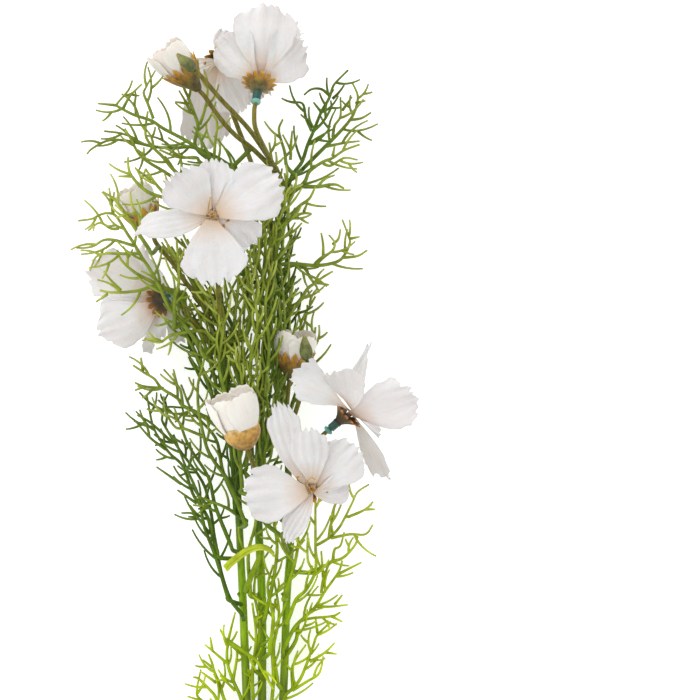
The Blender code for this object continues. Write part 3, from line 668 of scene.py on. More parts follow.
# %% The half-open blooms
# Each one has its base, the way it opens, its height, its radius, and the radius of its calyx.
HALF_OPEN = {
    "half_open_top_left": ((-29, 190, 62), (-0.62, 0.72, 0.08), 27, 10.5, 6.0),
    "half_open_left": ((-52, 115, 60), (-0.40, 0.85, 0.12), 26, 10.5, 5.0),
    "half_open_middle": ((21, 40, 42), (0.12, 0.90, 0.15), 25, 11.5, 5.0),
    "half_open_front": ((-2, 4, 80), (-0.28, 0.85, 0.14), 29, 13.5, 8.0),
}
CUP_ROWS, CUP_COLUMNS, CUP_PETALS = 22, 18, 6
CUP_SEED = 40
CALYX_FOOT = 4.0


def cup_reach(t):
    """The cup's radius at a share of its height: it swells fast, then closes a little."""
    return 0.25 + 0.77 * math.sin(math.pi * min(1.0, t ** 0.85 * 0.62)) - 0.05 * t


def make_cup(bloom, base, axis, height, radius, seed):
    chance = random.Random(seed)
    place = round_axis(base, axis)
    points, uvs, faces = [], [], []
    for petal in range(CUP_PETALS):
        inner = petal % 2
        middle = 2 * math.pi * petal / CUP_PETALS + chance.uniform(-0.12, 0.12)
        tall, shift = chance.uniform(0.86, 1.0) - 0.04 * inner, chance.uniform(0, 6.28)
        start = len(points)
        for r in range(CUP_ROWS + 1):
            for c in range(CUP_COLUMNS + 1):
                v = 2 * c / CUP_COLUMNS - 1
                t = r / CUP_ROWS
                notch = 0.05 * (1 - abs(math.cos(5 * math.pi * v / 2 + shift)) ** 0.5) * t ** 7
                t *= (1 - 0.2 * abs(v) ** 2.4 - notch) * tall
                angle = middle + v * (0.35 + 0.55 * math.sin(math.pi * min(t, 0.7) / 1.4))
                reach = radius * (cup_reach(t) - 0.07 * inner) - 0.5 * inner
                reach += 0.5 * math.sin(5 * v + shift) * t ** 2
                points.append(place(height * t, reach, angle))
                uvs.append((0.1 + 0.9 * r / CUP_ROWS, (v + 1) / 2))
        faces += grid_faces(CUP_ROWS + 1, CUP_COLUMNS + 1, start)
    return make_piece(f"{bloom}_cloth", points, faces, uvs, IVORY_CLOTH, [f"{bloom}_petals"],
                      CLOTH)


# %% [markdown]
# Three of these calyces have teeth that lie against the cup. Their grid follows the cup's own radius, a
# little outside it, so the teeth hug the cloth however the cup is shaped. A Shrinkwrap modifier would do so
# too, but it blurs the teeth. The fourth calyx is a turned dome with no teeth.

# %% The calyces of the half-open blooms
CALYX_STEM_RADIUS, CALYX_LAP = 1.5, 0.5
DOME_HEIGHT, DOME_RINGS = 13.5, 14


def make_hugging_calyx(bloom, base, axis, height, radius):
    place, rows, lap = round_axis(base, axis), 14, CALYX_LAP * height
    points, uvs = [place(-CALYX_FOOT, 0.0, 0.0)], [(0.0, 0.5)]
    for r in range(rows + 1):
        for c in range(TOOTH_COLUMNS):
            tooth, top = tooth_at(c)
            s = r / rows * top
            along = -CALYX_FOOT + (CALYX_FOOT + lap) * s
            reach = radius * cup_reach(max(0.0, along / height)) + 0.7 + 0.6 * tooth * s
            if along <= 0:
                reach = CALYX_STEM_RADIUS + (reach - CALYX_STEM_RADIUS) * (1 + along / CALYX_FOOT) ** 0.7
            points.append(place(along, reach, 2 * math.pi * c / TOOTH_COLUMNS))
            uvs.append((s, c / TOOTH_COLUMNS))
    faces = grid_faces(rows + 1, TOOTH_COLUMNS, 1, closed=True)
    faces += [(0, 1 + (c + 1) % TOOTH_COLUMNS, 1 + c) for c in range(TOOTH_COLUMNS)]
    return make_piece(f"{bloom}_toothed_cup", points, faces, uvs, CALYX_PLASTIC,
                      [f"{bloom}_calyx"], CALYX_WALL)


def make_dome(bloom, base, axis, radius):
    profile = []
    for k in range(DOME_RINGS + 1):
        share = k / DOME_RINGS
        profile.append((DOME_HEIGHT * share - CALYX_FOOT,
                        radius * (0.2 + 1.02 * math.sin(math.pi * 0.62 * share ** 0.8))))
    return make_turned(f"{bloom}_dome", [f"{bloom}_calyx"], base, axis, profile, DOME_PLASTIC)


for number, (bloom, (base, axis, height, radius, calyx_radius)) in enumerate(HALF_OPEN.items()):
    make_cup(bloom, base, axis, height, radius, CUP_SEED + number)
    if bloom == "half_open_front":
        make_dome(bloom, base, axis, calyx_radius)
    else:
        make_hugging_calyx(bloom, base, axis, height, radius)
print("pieces:", len(PIECES))


# %% [markdown]
# Stems, stalks, stamens and leaves are all wires: round, tapered, and bent along a route. Curve objects with
# a bevel could skin them, but not grow twigs, so one Geometry Nodes tree does both. It reads routes from a
# mesh of edges, whose points carry their girth and tint. Three short helpers keep its sums readable.

# %% Sums in a tree
def sums(tree, operation, *feeds):
    return add_node(tree, "ShaderNodeMath", dict(enumerate(feeds)), operation=operation).outputs[0]


def vectors(tree, operation, **feeds):
    keys = {"a": 0, "b": 1, "scale": "Scale"}
    return add_node(tree, "ShaderNodeVectorMath", {keys[k]: v for k, v in feeds.items()},
                    operation=operation).outputs[0]


def carried(tree, name):
    """An attribute that the routes carry."""
    return add_node(tree, "GeometryNodeInputNamedAttribute", {"Name": name}, data_type="FLOAT").outputs[0]


# %% [markdown]
# A cosmos twig is a short thread that bends towards the tip of its leaf, and some fork once. Three such twigs
# are drawn one unit long, lying along X, and the tree picks one by chance at each place. A line is its start,
# its end, and how far its end bows to Y.

# %% Twig shapes
TWIG_SHAPES = (
    (((0, 0, 0), (0.95, -0.12, 0), 0.40),),
    (((0, 0, 0), (0.92, -0.12, 0), 0.46), ((0.42, 0.03, 0), (0.86, -0.26, 0.06), 0.12)),
    (((0, 0, 0), (1.0, -0.04, 0.04), 0.26),),
)
TWIG_POINTS = 7
print("twig shapes:", len(TWIG_SHAPES))


def twig_choice(tree, share):
    """The twig shapes as instances, one for each shape."""
    twigs = add_node(tree, "GeometryNodeJoinGeometry")
    for lines in TWIG_SHAPES:
        twig = add_node(tree, "GeometryNodeJoinGeometry")
        for start, end, bow in lines:
            line = add_node(tree, "GeometryNodeCurvePrimitiveLine", {"Start": start, "End": end})
            fine = add_node(tree, "GeometryNodeResampleCurve", {
                "Curve": line.outputs[0], "Count": TWIG_POINTS})
            rise = sums(tree, "MULTIPLY", sums(tree, "POWER", share, 2.0), bow)
            bowed = add_node(tree, "GeometryNodeSetPosition", {
                "Geometry": fine.outputs[0],
                "Offset": add_node(tree, "ShaderNodeCombineXYZ", {"Y": rise}).outputs[0]})
            tree.links.new(bowed.outputs[0], twig.inputs[0])
        single = add_node(tree, "GeometryNodeGeometryToInstance", {0: twig.outputs[0]})
        tree.links.new(single.outputs[0], twigs.inputs[0])
    return twigs.outputs[0]


# %% [markdown]
# Twigs sit at even spaces along each route, to one side and the other in turn, as the mould has them. Each
# one leans forward by the given angle, rises or falls a little by chance, and gets shorter towards the tip.
# The twigs are made real while they are still curves, so that one skin can cover them and their routes.

# %% Twigs along the routes
ANGLE_CHANCE, RISE_CHANCE, LENGTH_CHANCE = (-0.25, 0.25, 1), (-0.3, 0.45, 2), (0.65, 1.15, 3)
BARE_ROOT, BARE_TIP = 0.1, 0.97
TIP_SHORTENS, TIP_THINS, TIP_PALES = 0.4, 0.42, 0.45


def grow_twigs(tree, given, routes, share):
    def chance(low, high, salt):
        return add_node(tree, "FunctionNodeRandomValue", {
            2: low, 3: high, 8: sums(tree, "ADD", given["Seed"], salt)}, data_type="FLOAT").outputs[1]

    roots = add_node(tree, "GeometryNodeCurveToPoints", {"Curve": routes, "Length": given["Twig Spacing"]},
                     mode="LENGTH")
    tangent = roots.outputs["Tangent"]
    side = vectors(tree, "NORMALIZE", a=vectors(tree, "CROSS_PRODUCT", a=tangent, b=(0.0, 0.0, 1.0)))
    index = add_node(tree, "GeometryNodeInputIndex").outputs[0]
    turn = sums(tree, "MULTIPLY_ADD", sums(tree, "MODULO", index, 2.0), 2.0, -1.0)
    angle = sums(tree, "ADD", given["Twig Angle"], chance(*ANGLE_CHANCE))
    ahead = vectors(tree, "SCALE", a=tangent, scale=sums(tree, "COSINE", angle))
    aside = vectors(tree, "SCALE", a=side,
                    scale=sums(tree, "MULTIPLY", sums(tree, "SINE", angle), turn))
    up = add_node(tree, "ShaderNodeCombineXYZ", {"Z": chance(*RISE_CHANCE)}).outputs[0]
    way = vectors(tree, "ADD", a=vectors(tree, "ADD", a=ahead, b=aside), b=up)
    pointed = add_node(tree, "FunctionNodeAlignRotationToVector", {"Vector": way}, axis="X")
    level = add_node(tree, "FunctionNodeAlignRotationToVector", {
        "Rotation": pointed.outputs[0], "Vector": (0.0, 0.0, 1.0)}, axis="Z", pivot_axis="X")
    reach = carried(tree, "reach")
    size = sums(tree, "MULTIPLY", sums(tree, "MULTIPLY", given["Twig Length"], chance(*LENGTH_CHANCE)),
                sums(tree, "SUBTRACT", 1.0, sums(tree, "MULTIPLY", reach, TIP_SHORTENS)))
    grown = sums(tree, "MULTIPLY", sums(tree, "GREATER_THAN", reach, BARE_ROOT),
                 sums(tree, "LESS_THAN", reach, BARE_TIP))
    which = add_node(tree, "FunctionNodeRandomValue", {
        4: 0, 5: len(TWIG_SHAPES) - 1, 8: given["Seed"]}, data_type="INT").outputs[2]
    mirrored = add_node(tree, "ShaderNodeCombineXYZ", {
        "X": size, "Y": sums(tree, "MULTIPLY", size, turn), "Z": size})
    placed = add_node(tree, "GeometryNodeInstanceOnPoints", {
        "Points": roots.outputs["Points"], "Selection": grown, "Instance": twig_choice(tree, share),
        "Pick Instance": True, "Instance Index": which, "Rotation": level.outputs[0],
        "Scale": mirrored.outputs[0]})
    wires = add_node(tree, "GeometryNodeRealizeInstances", {0: placed.outputs[0]}).outputs[0]
    thinner = sums(tree, "MULTIPLY", given["Twig Girth"],
                   sums(tree, "SUBTRACT", 1.0, sums(tree, "MULTIPLY", share, TIP_THINS)))
    paler = sums(tree, "ADD", carried(tree, "tint"), sums(tree, "MULTIPLY", share, TIP_PALES))
    for name, value in (("girth", thinner), ("tint", paler)):
        wires = add_node(tree, "GeometryNodeStoreNamedAttribute", {
            "Geometry": wires, "Name": name, "Value": value}).outputs[0]
    return wires


# %% [markdown]
# The whole tree joins the twigs to the routes and sweeps a ring along all of them, whose size is the girth at
# each point. Its inputs are the twigs' spacing, length, angle and girth, the number of sides of a wire, a
# seed, and the finish.

# %% The tree that skins wires
TREE_INPUTS = (("Twig Spacing", "Float"), ("Twig Length", "Float"), ("Twig Angle", "Float"),
               ("Twig Girth", "Float"), ("Sides", "Int"), ("Seed", "Int"), ("Finish", "Material"))


def skin_tree():
    tree = bpy.data.node_groups.new("skinned_wires", "GeometryNodeTree")
    face = tree.interface
    face.new_socket("Geometry", in_out="INPUT", socket_type="NodeSocketGeometry")
    for name, kind in TREE_INPUTS:
        face.new_socket(name, in_out="INPUT", socket_type=f"NodeSocket{kind}")
    face.new_socket("Geometry", in_out="OUTPUT", socket_type="NodeSocketGeometry")
    given = add_node(tree, "NodeGroupInput").outputs
    share = add_node(tree, "GeometryNodeSplineParameter").outputs["Factor"]
    routes = add_node(tree, "GeometryNodeMeshToCurve", {"Mesh": given["Geometry"]}).outputs[0]
    twigs = grow_twigs(tree, given, routes, share)
    wires = add_node(tree, "GeometryNodeJoinGeometry")
    tree.links.new(twigs, wires.inputs[0])
    tree.links.new(routes, wires.inputs[0])
    ring = add_node(tree, "GeometryNodeCurvePrimitiveCircle", {"Resolution": given["Sides"], "Radius": 1.0})
    skin = add_node(tree, "GeometryNodeCurveToMesh", {
        "Curve": wires.outputs[0], "Profile Curve": ring.outputs[0], "Scale": carried(tree, "girth"),
        "Fill Caps": True})
    smooth = add_node(tree, "GeometryNodeSetShadeSmooth", {"Geometry": skin.outputs[0]})
    whole = add_node(tree, "GeometryNodeRealizeInstances", {0: smooth.outputs[0]})
    coated = add_node(tree, "GeometryNodeSetMaterial", {
        "Geometry": whole.outputs[0], "Material": given["Finish"]})
    add_node(tree, "NodeGroupOutput", {0: coated.outputs[0]})
    return tree


SKIN = skin_tree()
SKIN_INPUTS = {item.name: item.identifier for item in SKIN.interface.items_tree if item.in_out == "INPUT"}
print("tree:", SKIN.name, "nodes:", len(SKIN.nodes))


# %% [markdown]
# A route is its points, its girth at both ends, its tint at both ends, and its shade. The function below
# lays the routes out as edges, runs the tree, and keeps the result as a plain mesh. A wire with no twigs has
# them spaced so far apart that none fits.

# %% Wires from routes
# The twigs' spacing, length, angle and girth.
NO_TWIGS = (1e6, 0.0, 0.7, 0.5)


def make_wires(name, routes, finish, nodes=(), sides=6, seed=0, twigs=NO_TWIGS):
    points, edges, girth, tint, reach, shade = [], [], [], [], [], []
    for path, (thick, thin), (near, far), depth in routes:
        start = len(points)
        for k, point in enumerate(path):
            share = k / (len(path) - 1)
            girth.append((thick + (thin - thick) * share) * MM)
            tint.append(near + (far - near) * share)
            reach.append(share)
            shade.append(depth)
            points.append(point * MM)
            if k:
                edges.append((start + k - 1, start + k))
    mesh = bpy.data.meshes.new(name)
    mesh.from_pydata(points, edges, [])
    for label, values in (("girth", girth), ("tint", tint), ("reach", reach), ("shade", shade)):
        mesh.attributes.new(label, "FLOAT", "POINT").data.foreach_set("value", values)
    piece = bpy.data.objects.new(name, mesh)
    bpy.context.scene.collection.objects.link(piece)
    skin = piece.modifiers.new("skin", "NODES")
    skin.node_group = SKIN
    spacing, length, angle, twig_girth = twigs
    values = (spacing * MM, length * MM, angle, twig_girth * MM, sides, seed, finish)
    for (label, _), value in zip(TREE_INPUTS, values):
        skin[SKIN_INPUTS[label]] = value
    depsgraph = bpy.context.evaluated_depsgraph_get()
    piece.data = bpy.data.meshes.new_from_object(piece.evaluated_get(depsgraph))
    piece.modifiers.clear()
    if not piece.data.materials:
        piece.data.materials.append(finish)
    return register(piece, nodes)


# %% [markdown]
# The stems repeat the CAD's table: the route of each wire, and the stalk of each head. A stalk leaves its
# stem from within and ends just below its head. A short peg is left at each place where a leaf was cut off.
# The routes are few and each is different, so they are a list given one by one and not a rule.

# %% Stems and stalks
STEM_RADIUS, STEM_TOP_RADIUS, STALK_RADIUS = 2.6, 1.7, 1.3
STEM_SIDES = 14
STEMS = {
    "stem_tall": (
        ((6, -233, 2.7), (6, -210, 3.6), (6, -185, 4), (6, -160, 5), (6, -130, 8), (6, -78, 15),
         (4, -26, 26), (6, 26, 36), (10, 78, 42), (13, 109, 45), (17, 134, 48), (13, 147, 50)),
        (("bloom_top", ((15, 143, 50), (8, 156, 68), (3, 167, 80))),
         ("half_open_top_left", ((14, 144, 50), (2, 156, 56), (-8, 164, 60), (-16, 173, 62))),
         ("bloom_behind", ((13, 109, 45), (4, 140, 38), (-8, 172, 24), (-15, 190, 18))),
         ("bud_top", ((13, 147, 50), (0, 166, 68), (-15, 182, 78))))),
    "stem_left": (
        ((-4, -226, 2.7), (-1.5, -205, 3.8), (0.3, -185, 4), (-1, -160, 5), (-2, -130, 8),
         (-4, -78, 14), (-5, -57, 18), (-7, -16, 28), (-10, 16, 36), (-15, 52, 48)),
        (("bloom_centre", ((-14, 46, 46), (-15, 66, 58), (-17, 92, 74), (-19, 112, 80))),
         ("half_open_left", ((-14, 48, 47), (-24, 74, 52), (-34, 88, 53), (-40, 97, 56))),
         ("bloom_left", ((-13, 42, 44), (-22, 58, 50), (-32, 70, 56))))),
    "stem_right": (
        ((14, -222, 2.7), (13, -205, 3.8), (11.7, -185, 4), (14, -160, 5), (17, -130, 8),
         (19, -78, 14), (21, -47, 22), (20, -16, 32), (19, 12, 35)),
        (("half_open_middle", ((19, 8, 35), (19, 20, 36))),
         ("bloom_right", ((20, -12, 32), (25, -6, 42), (29, 0, 54), (32, 3, 62))),
         ("bloom_front", ((21, -44, 23), (26, -34, 46), (30, -22, 66))),
         ("half_open_front", ((20, -30, 27), (12, -26, 54), (7, -19, 70))),
         ("bud_middle", ((19, 6, 35), (25, 24, 46), (28, 38, 55))),
         ("bud_low", ((21, -56, 20), (18, -50, 38), (17, -44, 50))))),
}


# %% Where a stalk ends below its head, and the way it points there
STALK_GAP, CUP_STALK_GAP = 0.3, 0.4
BLOOM_BACK = CALYX_DEPTH + COLLAR_GAP + COLLAR_LENGTH + BEAD_LENGTH


def head_foot(head):
    if head in BLOOMS:
        place, axis, back = *BLOOMS[head][:2], BLOOM_BACK + STALK_GAP
    elif head in HALF_OPEN:
        place, axis, back = *HALF_OPEN[head][:2], CALYX_FOOT + CUP_STALK_GAP
    else:
        place, axis, back = *BUDS[head][:2], BUDS[head][2] / 2 + STALK_GAP
    axis = Vector(axis).normalized()
    return Vector(place) - axis * back, axis


# %% The stems' covers
# Pegs stand along a stem at every so many of its points, clear of both ends. A peg leans to one side.
PEG_FIRST, PEG_LAST, PEG_EVERY, PEG_LEAN = 37, 30, 23, 0.6
LEAD_IN = 5
stem_points = []
for number, (stem, (route, stalks)) in enumerate(STEMS.items()):
    path = smooth_path(route, 12)
    stem_points += path
    routes = [(path, (STEM_RADIUS, STEM_TOP_RADIUS), (0.0, 0.25), 0.0)]
    for k in range(PEG_FIRST, len(path) - PEG_LAST, PEG_EVERY):
        peg = Vector((PEG_LEAN if k % 2 else -PEG_LEAN, 0.7, 0.4)).normalized()
        routes.append(([path[k] + peg * (1.0 + 1.1 * i) for i in range(4)], (1.2, 0.8), (0.1, 0.5), 0.0))
    for head, points in stalks:
        foot, axis = head_foot(head)
        climb = smooth_path([*points, foot - axis * LEAD_IN, foot], 10)
        stem_points += climb
        routes.append((climb, (STALK_RADIUS, STALK_RADIUS * 0.9), (0.5, 1.0), 0.0))
    make_wires(f"{stem}_cover", routes, STEM_PLASTIC, [stem], STEM_SIDES, number)
print("stems:", len(STEMS))


# %% [markdown]
# A strip of crepe tape holds the stems together. It is wound twice, so one edge steps over the other in a
# slant. A strip that really winds would need its overlap built, but only the step shows. So the band is one
# sheet round the three stems, and the step is a saw-tooth wave that runs across it in a slant.

# %% The tie
TIE_Y, TIE_WIDTH, TIE_CENTRE_X, TIE_CENTRE_Z, STEM_PITCH = -185.0, 9.0, 6.0, 4.0, 5.7
TIE_WINDS, TIE_STEP, TIE_GAP, TIE_THICKNESS = 2.2, 0.28, 0.75, 0.4


def make_tie():
    rows, arc = 18, 16
    outline = []
    for end in (1, -1):
        for k in range(arc + 1):
            angle = math.radians(-90 + 180 * k / arc) + (0 if end == 1 else math.pi)
            outline.append((end * STEM_PITCH, angle))
        for k in range(1, 8):
            outline.append((end * STEM_PITCH * (1 - 2 * k / 8), math.radians(90 * end)))
    points, uvs = [], []
    for r in range(rows + 1):
        for k, (shift, angle) in enumerate(outline):
            step = (r / rows * TIE_WINDS + k / len(outline)) % 1.0
            reach = STEM_RADIUS + TIE_GAP + TIE_STEP * step
            points.append(Vector((TIE_CENTRE_X + shift + reach * math.cos(angle),
                                  TIE_Y + (r / rows - 0.5) * TIE_WIDTH,
                                  TIE_CENTRE_Z + reach * math.sin(angle))))
            # The tape's paint reads this share of the step, so it is darker at the foot of each step: painted
            # shade under the edge above.
            uvs.append((step, k / len(outline)))
    faces = grid_faces(rows + 1, len(outline), closed=True)
    return make_piece("crepe_tie", points, faces, uvs, TIE_TAPE, ["tie"],
                      TIE_THICKNESS)


make_tie()
print("pieces:", len(PIECES))


# %% [markdown]
# The centre of each open bloom holds a small tuft of flocked stamens. They are short wires that lean
# outwards. Places chosen by chance would leave bald spots, so they are set out at the golden angle, which
# fills a disc evenly. Three blooms also have one bent style.

# %% Stamens
STAMEN_COUNT, STAMEN_HEIGHT, TUFT_RADIUS = 9, 2.8, 1.5
GOLDEN_ANGLE = math.pi * (3 - math.sqrt(5))
STYLES = {
    "bloom_centre": ((-20, 131, 106), (-21, 126, 106), (-21, 122, 104), (-16, 122, 103)),
    "bloom_front": ((30, -19, 96), (30, -16, 98), (32, -14, 98), (34, -15, 97)),
    "bloom_behind": ((-18, 204, 44), (-17, 206, 45), (-15, 206, 45), (-13, 204, 44)),
}
for number, (bloom, (centre, axis, _)) in enumerate(BLOOMS.items()):
    centre, axis = Vector(centre), Vector(axis).normalized()
    first, second = across(axis)
    base, routes = centre + axis * (LAYER_RISE + 0.2), []
    for k in range(STAMEN_COUNT):
        spread = TUFT_RADIUS * math.sqrt((k + 0.5) / STAMEN_COUNT)
        out = math.cos(k * GOLDEN_ANGLE) * first + math.sin(k * GOLDEN_ANGLE) * second
        foot, tip = base + out * spread * 0.5, base + out * spread + axis * (STAMEN_HEIGHT - 0.5 * spread)
        routes.append(([foot, foot.lerp(tip, 0.5) + axis * 0.4, tip], (0.28, 0.24), (0.0, 0.6), 0.0))
        routes.append(([tip - axis * 0.3, tip + axis * 0.2, tip + axis * 0.7], (0.5, 0.35), (1.0, 1.0), 0.0))
    if bloom in STYLES:
        routes.append((smooth_path(STYLES[bloom], 5), (0.35, 0.3), (0.2, 0.2), 0.0))
    make_wires(f"{bloom}_tuft", routes, STAMEN_PLASTIC, [f"{bloom}_stamens"])
print("stamens in each bloom:", STAMEN_COUNT)
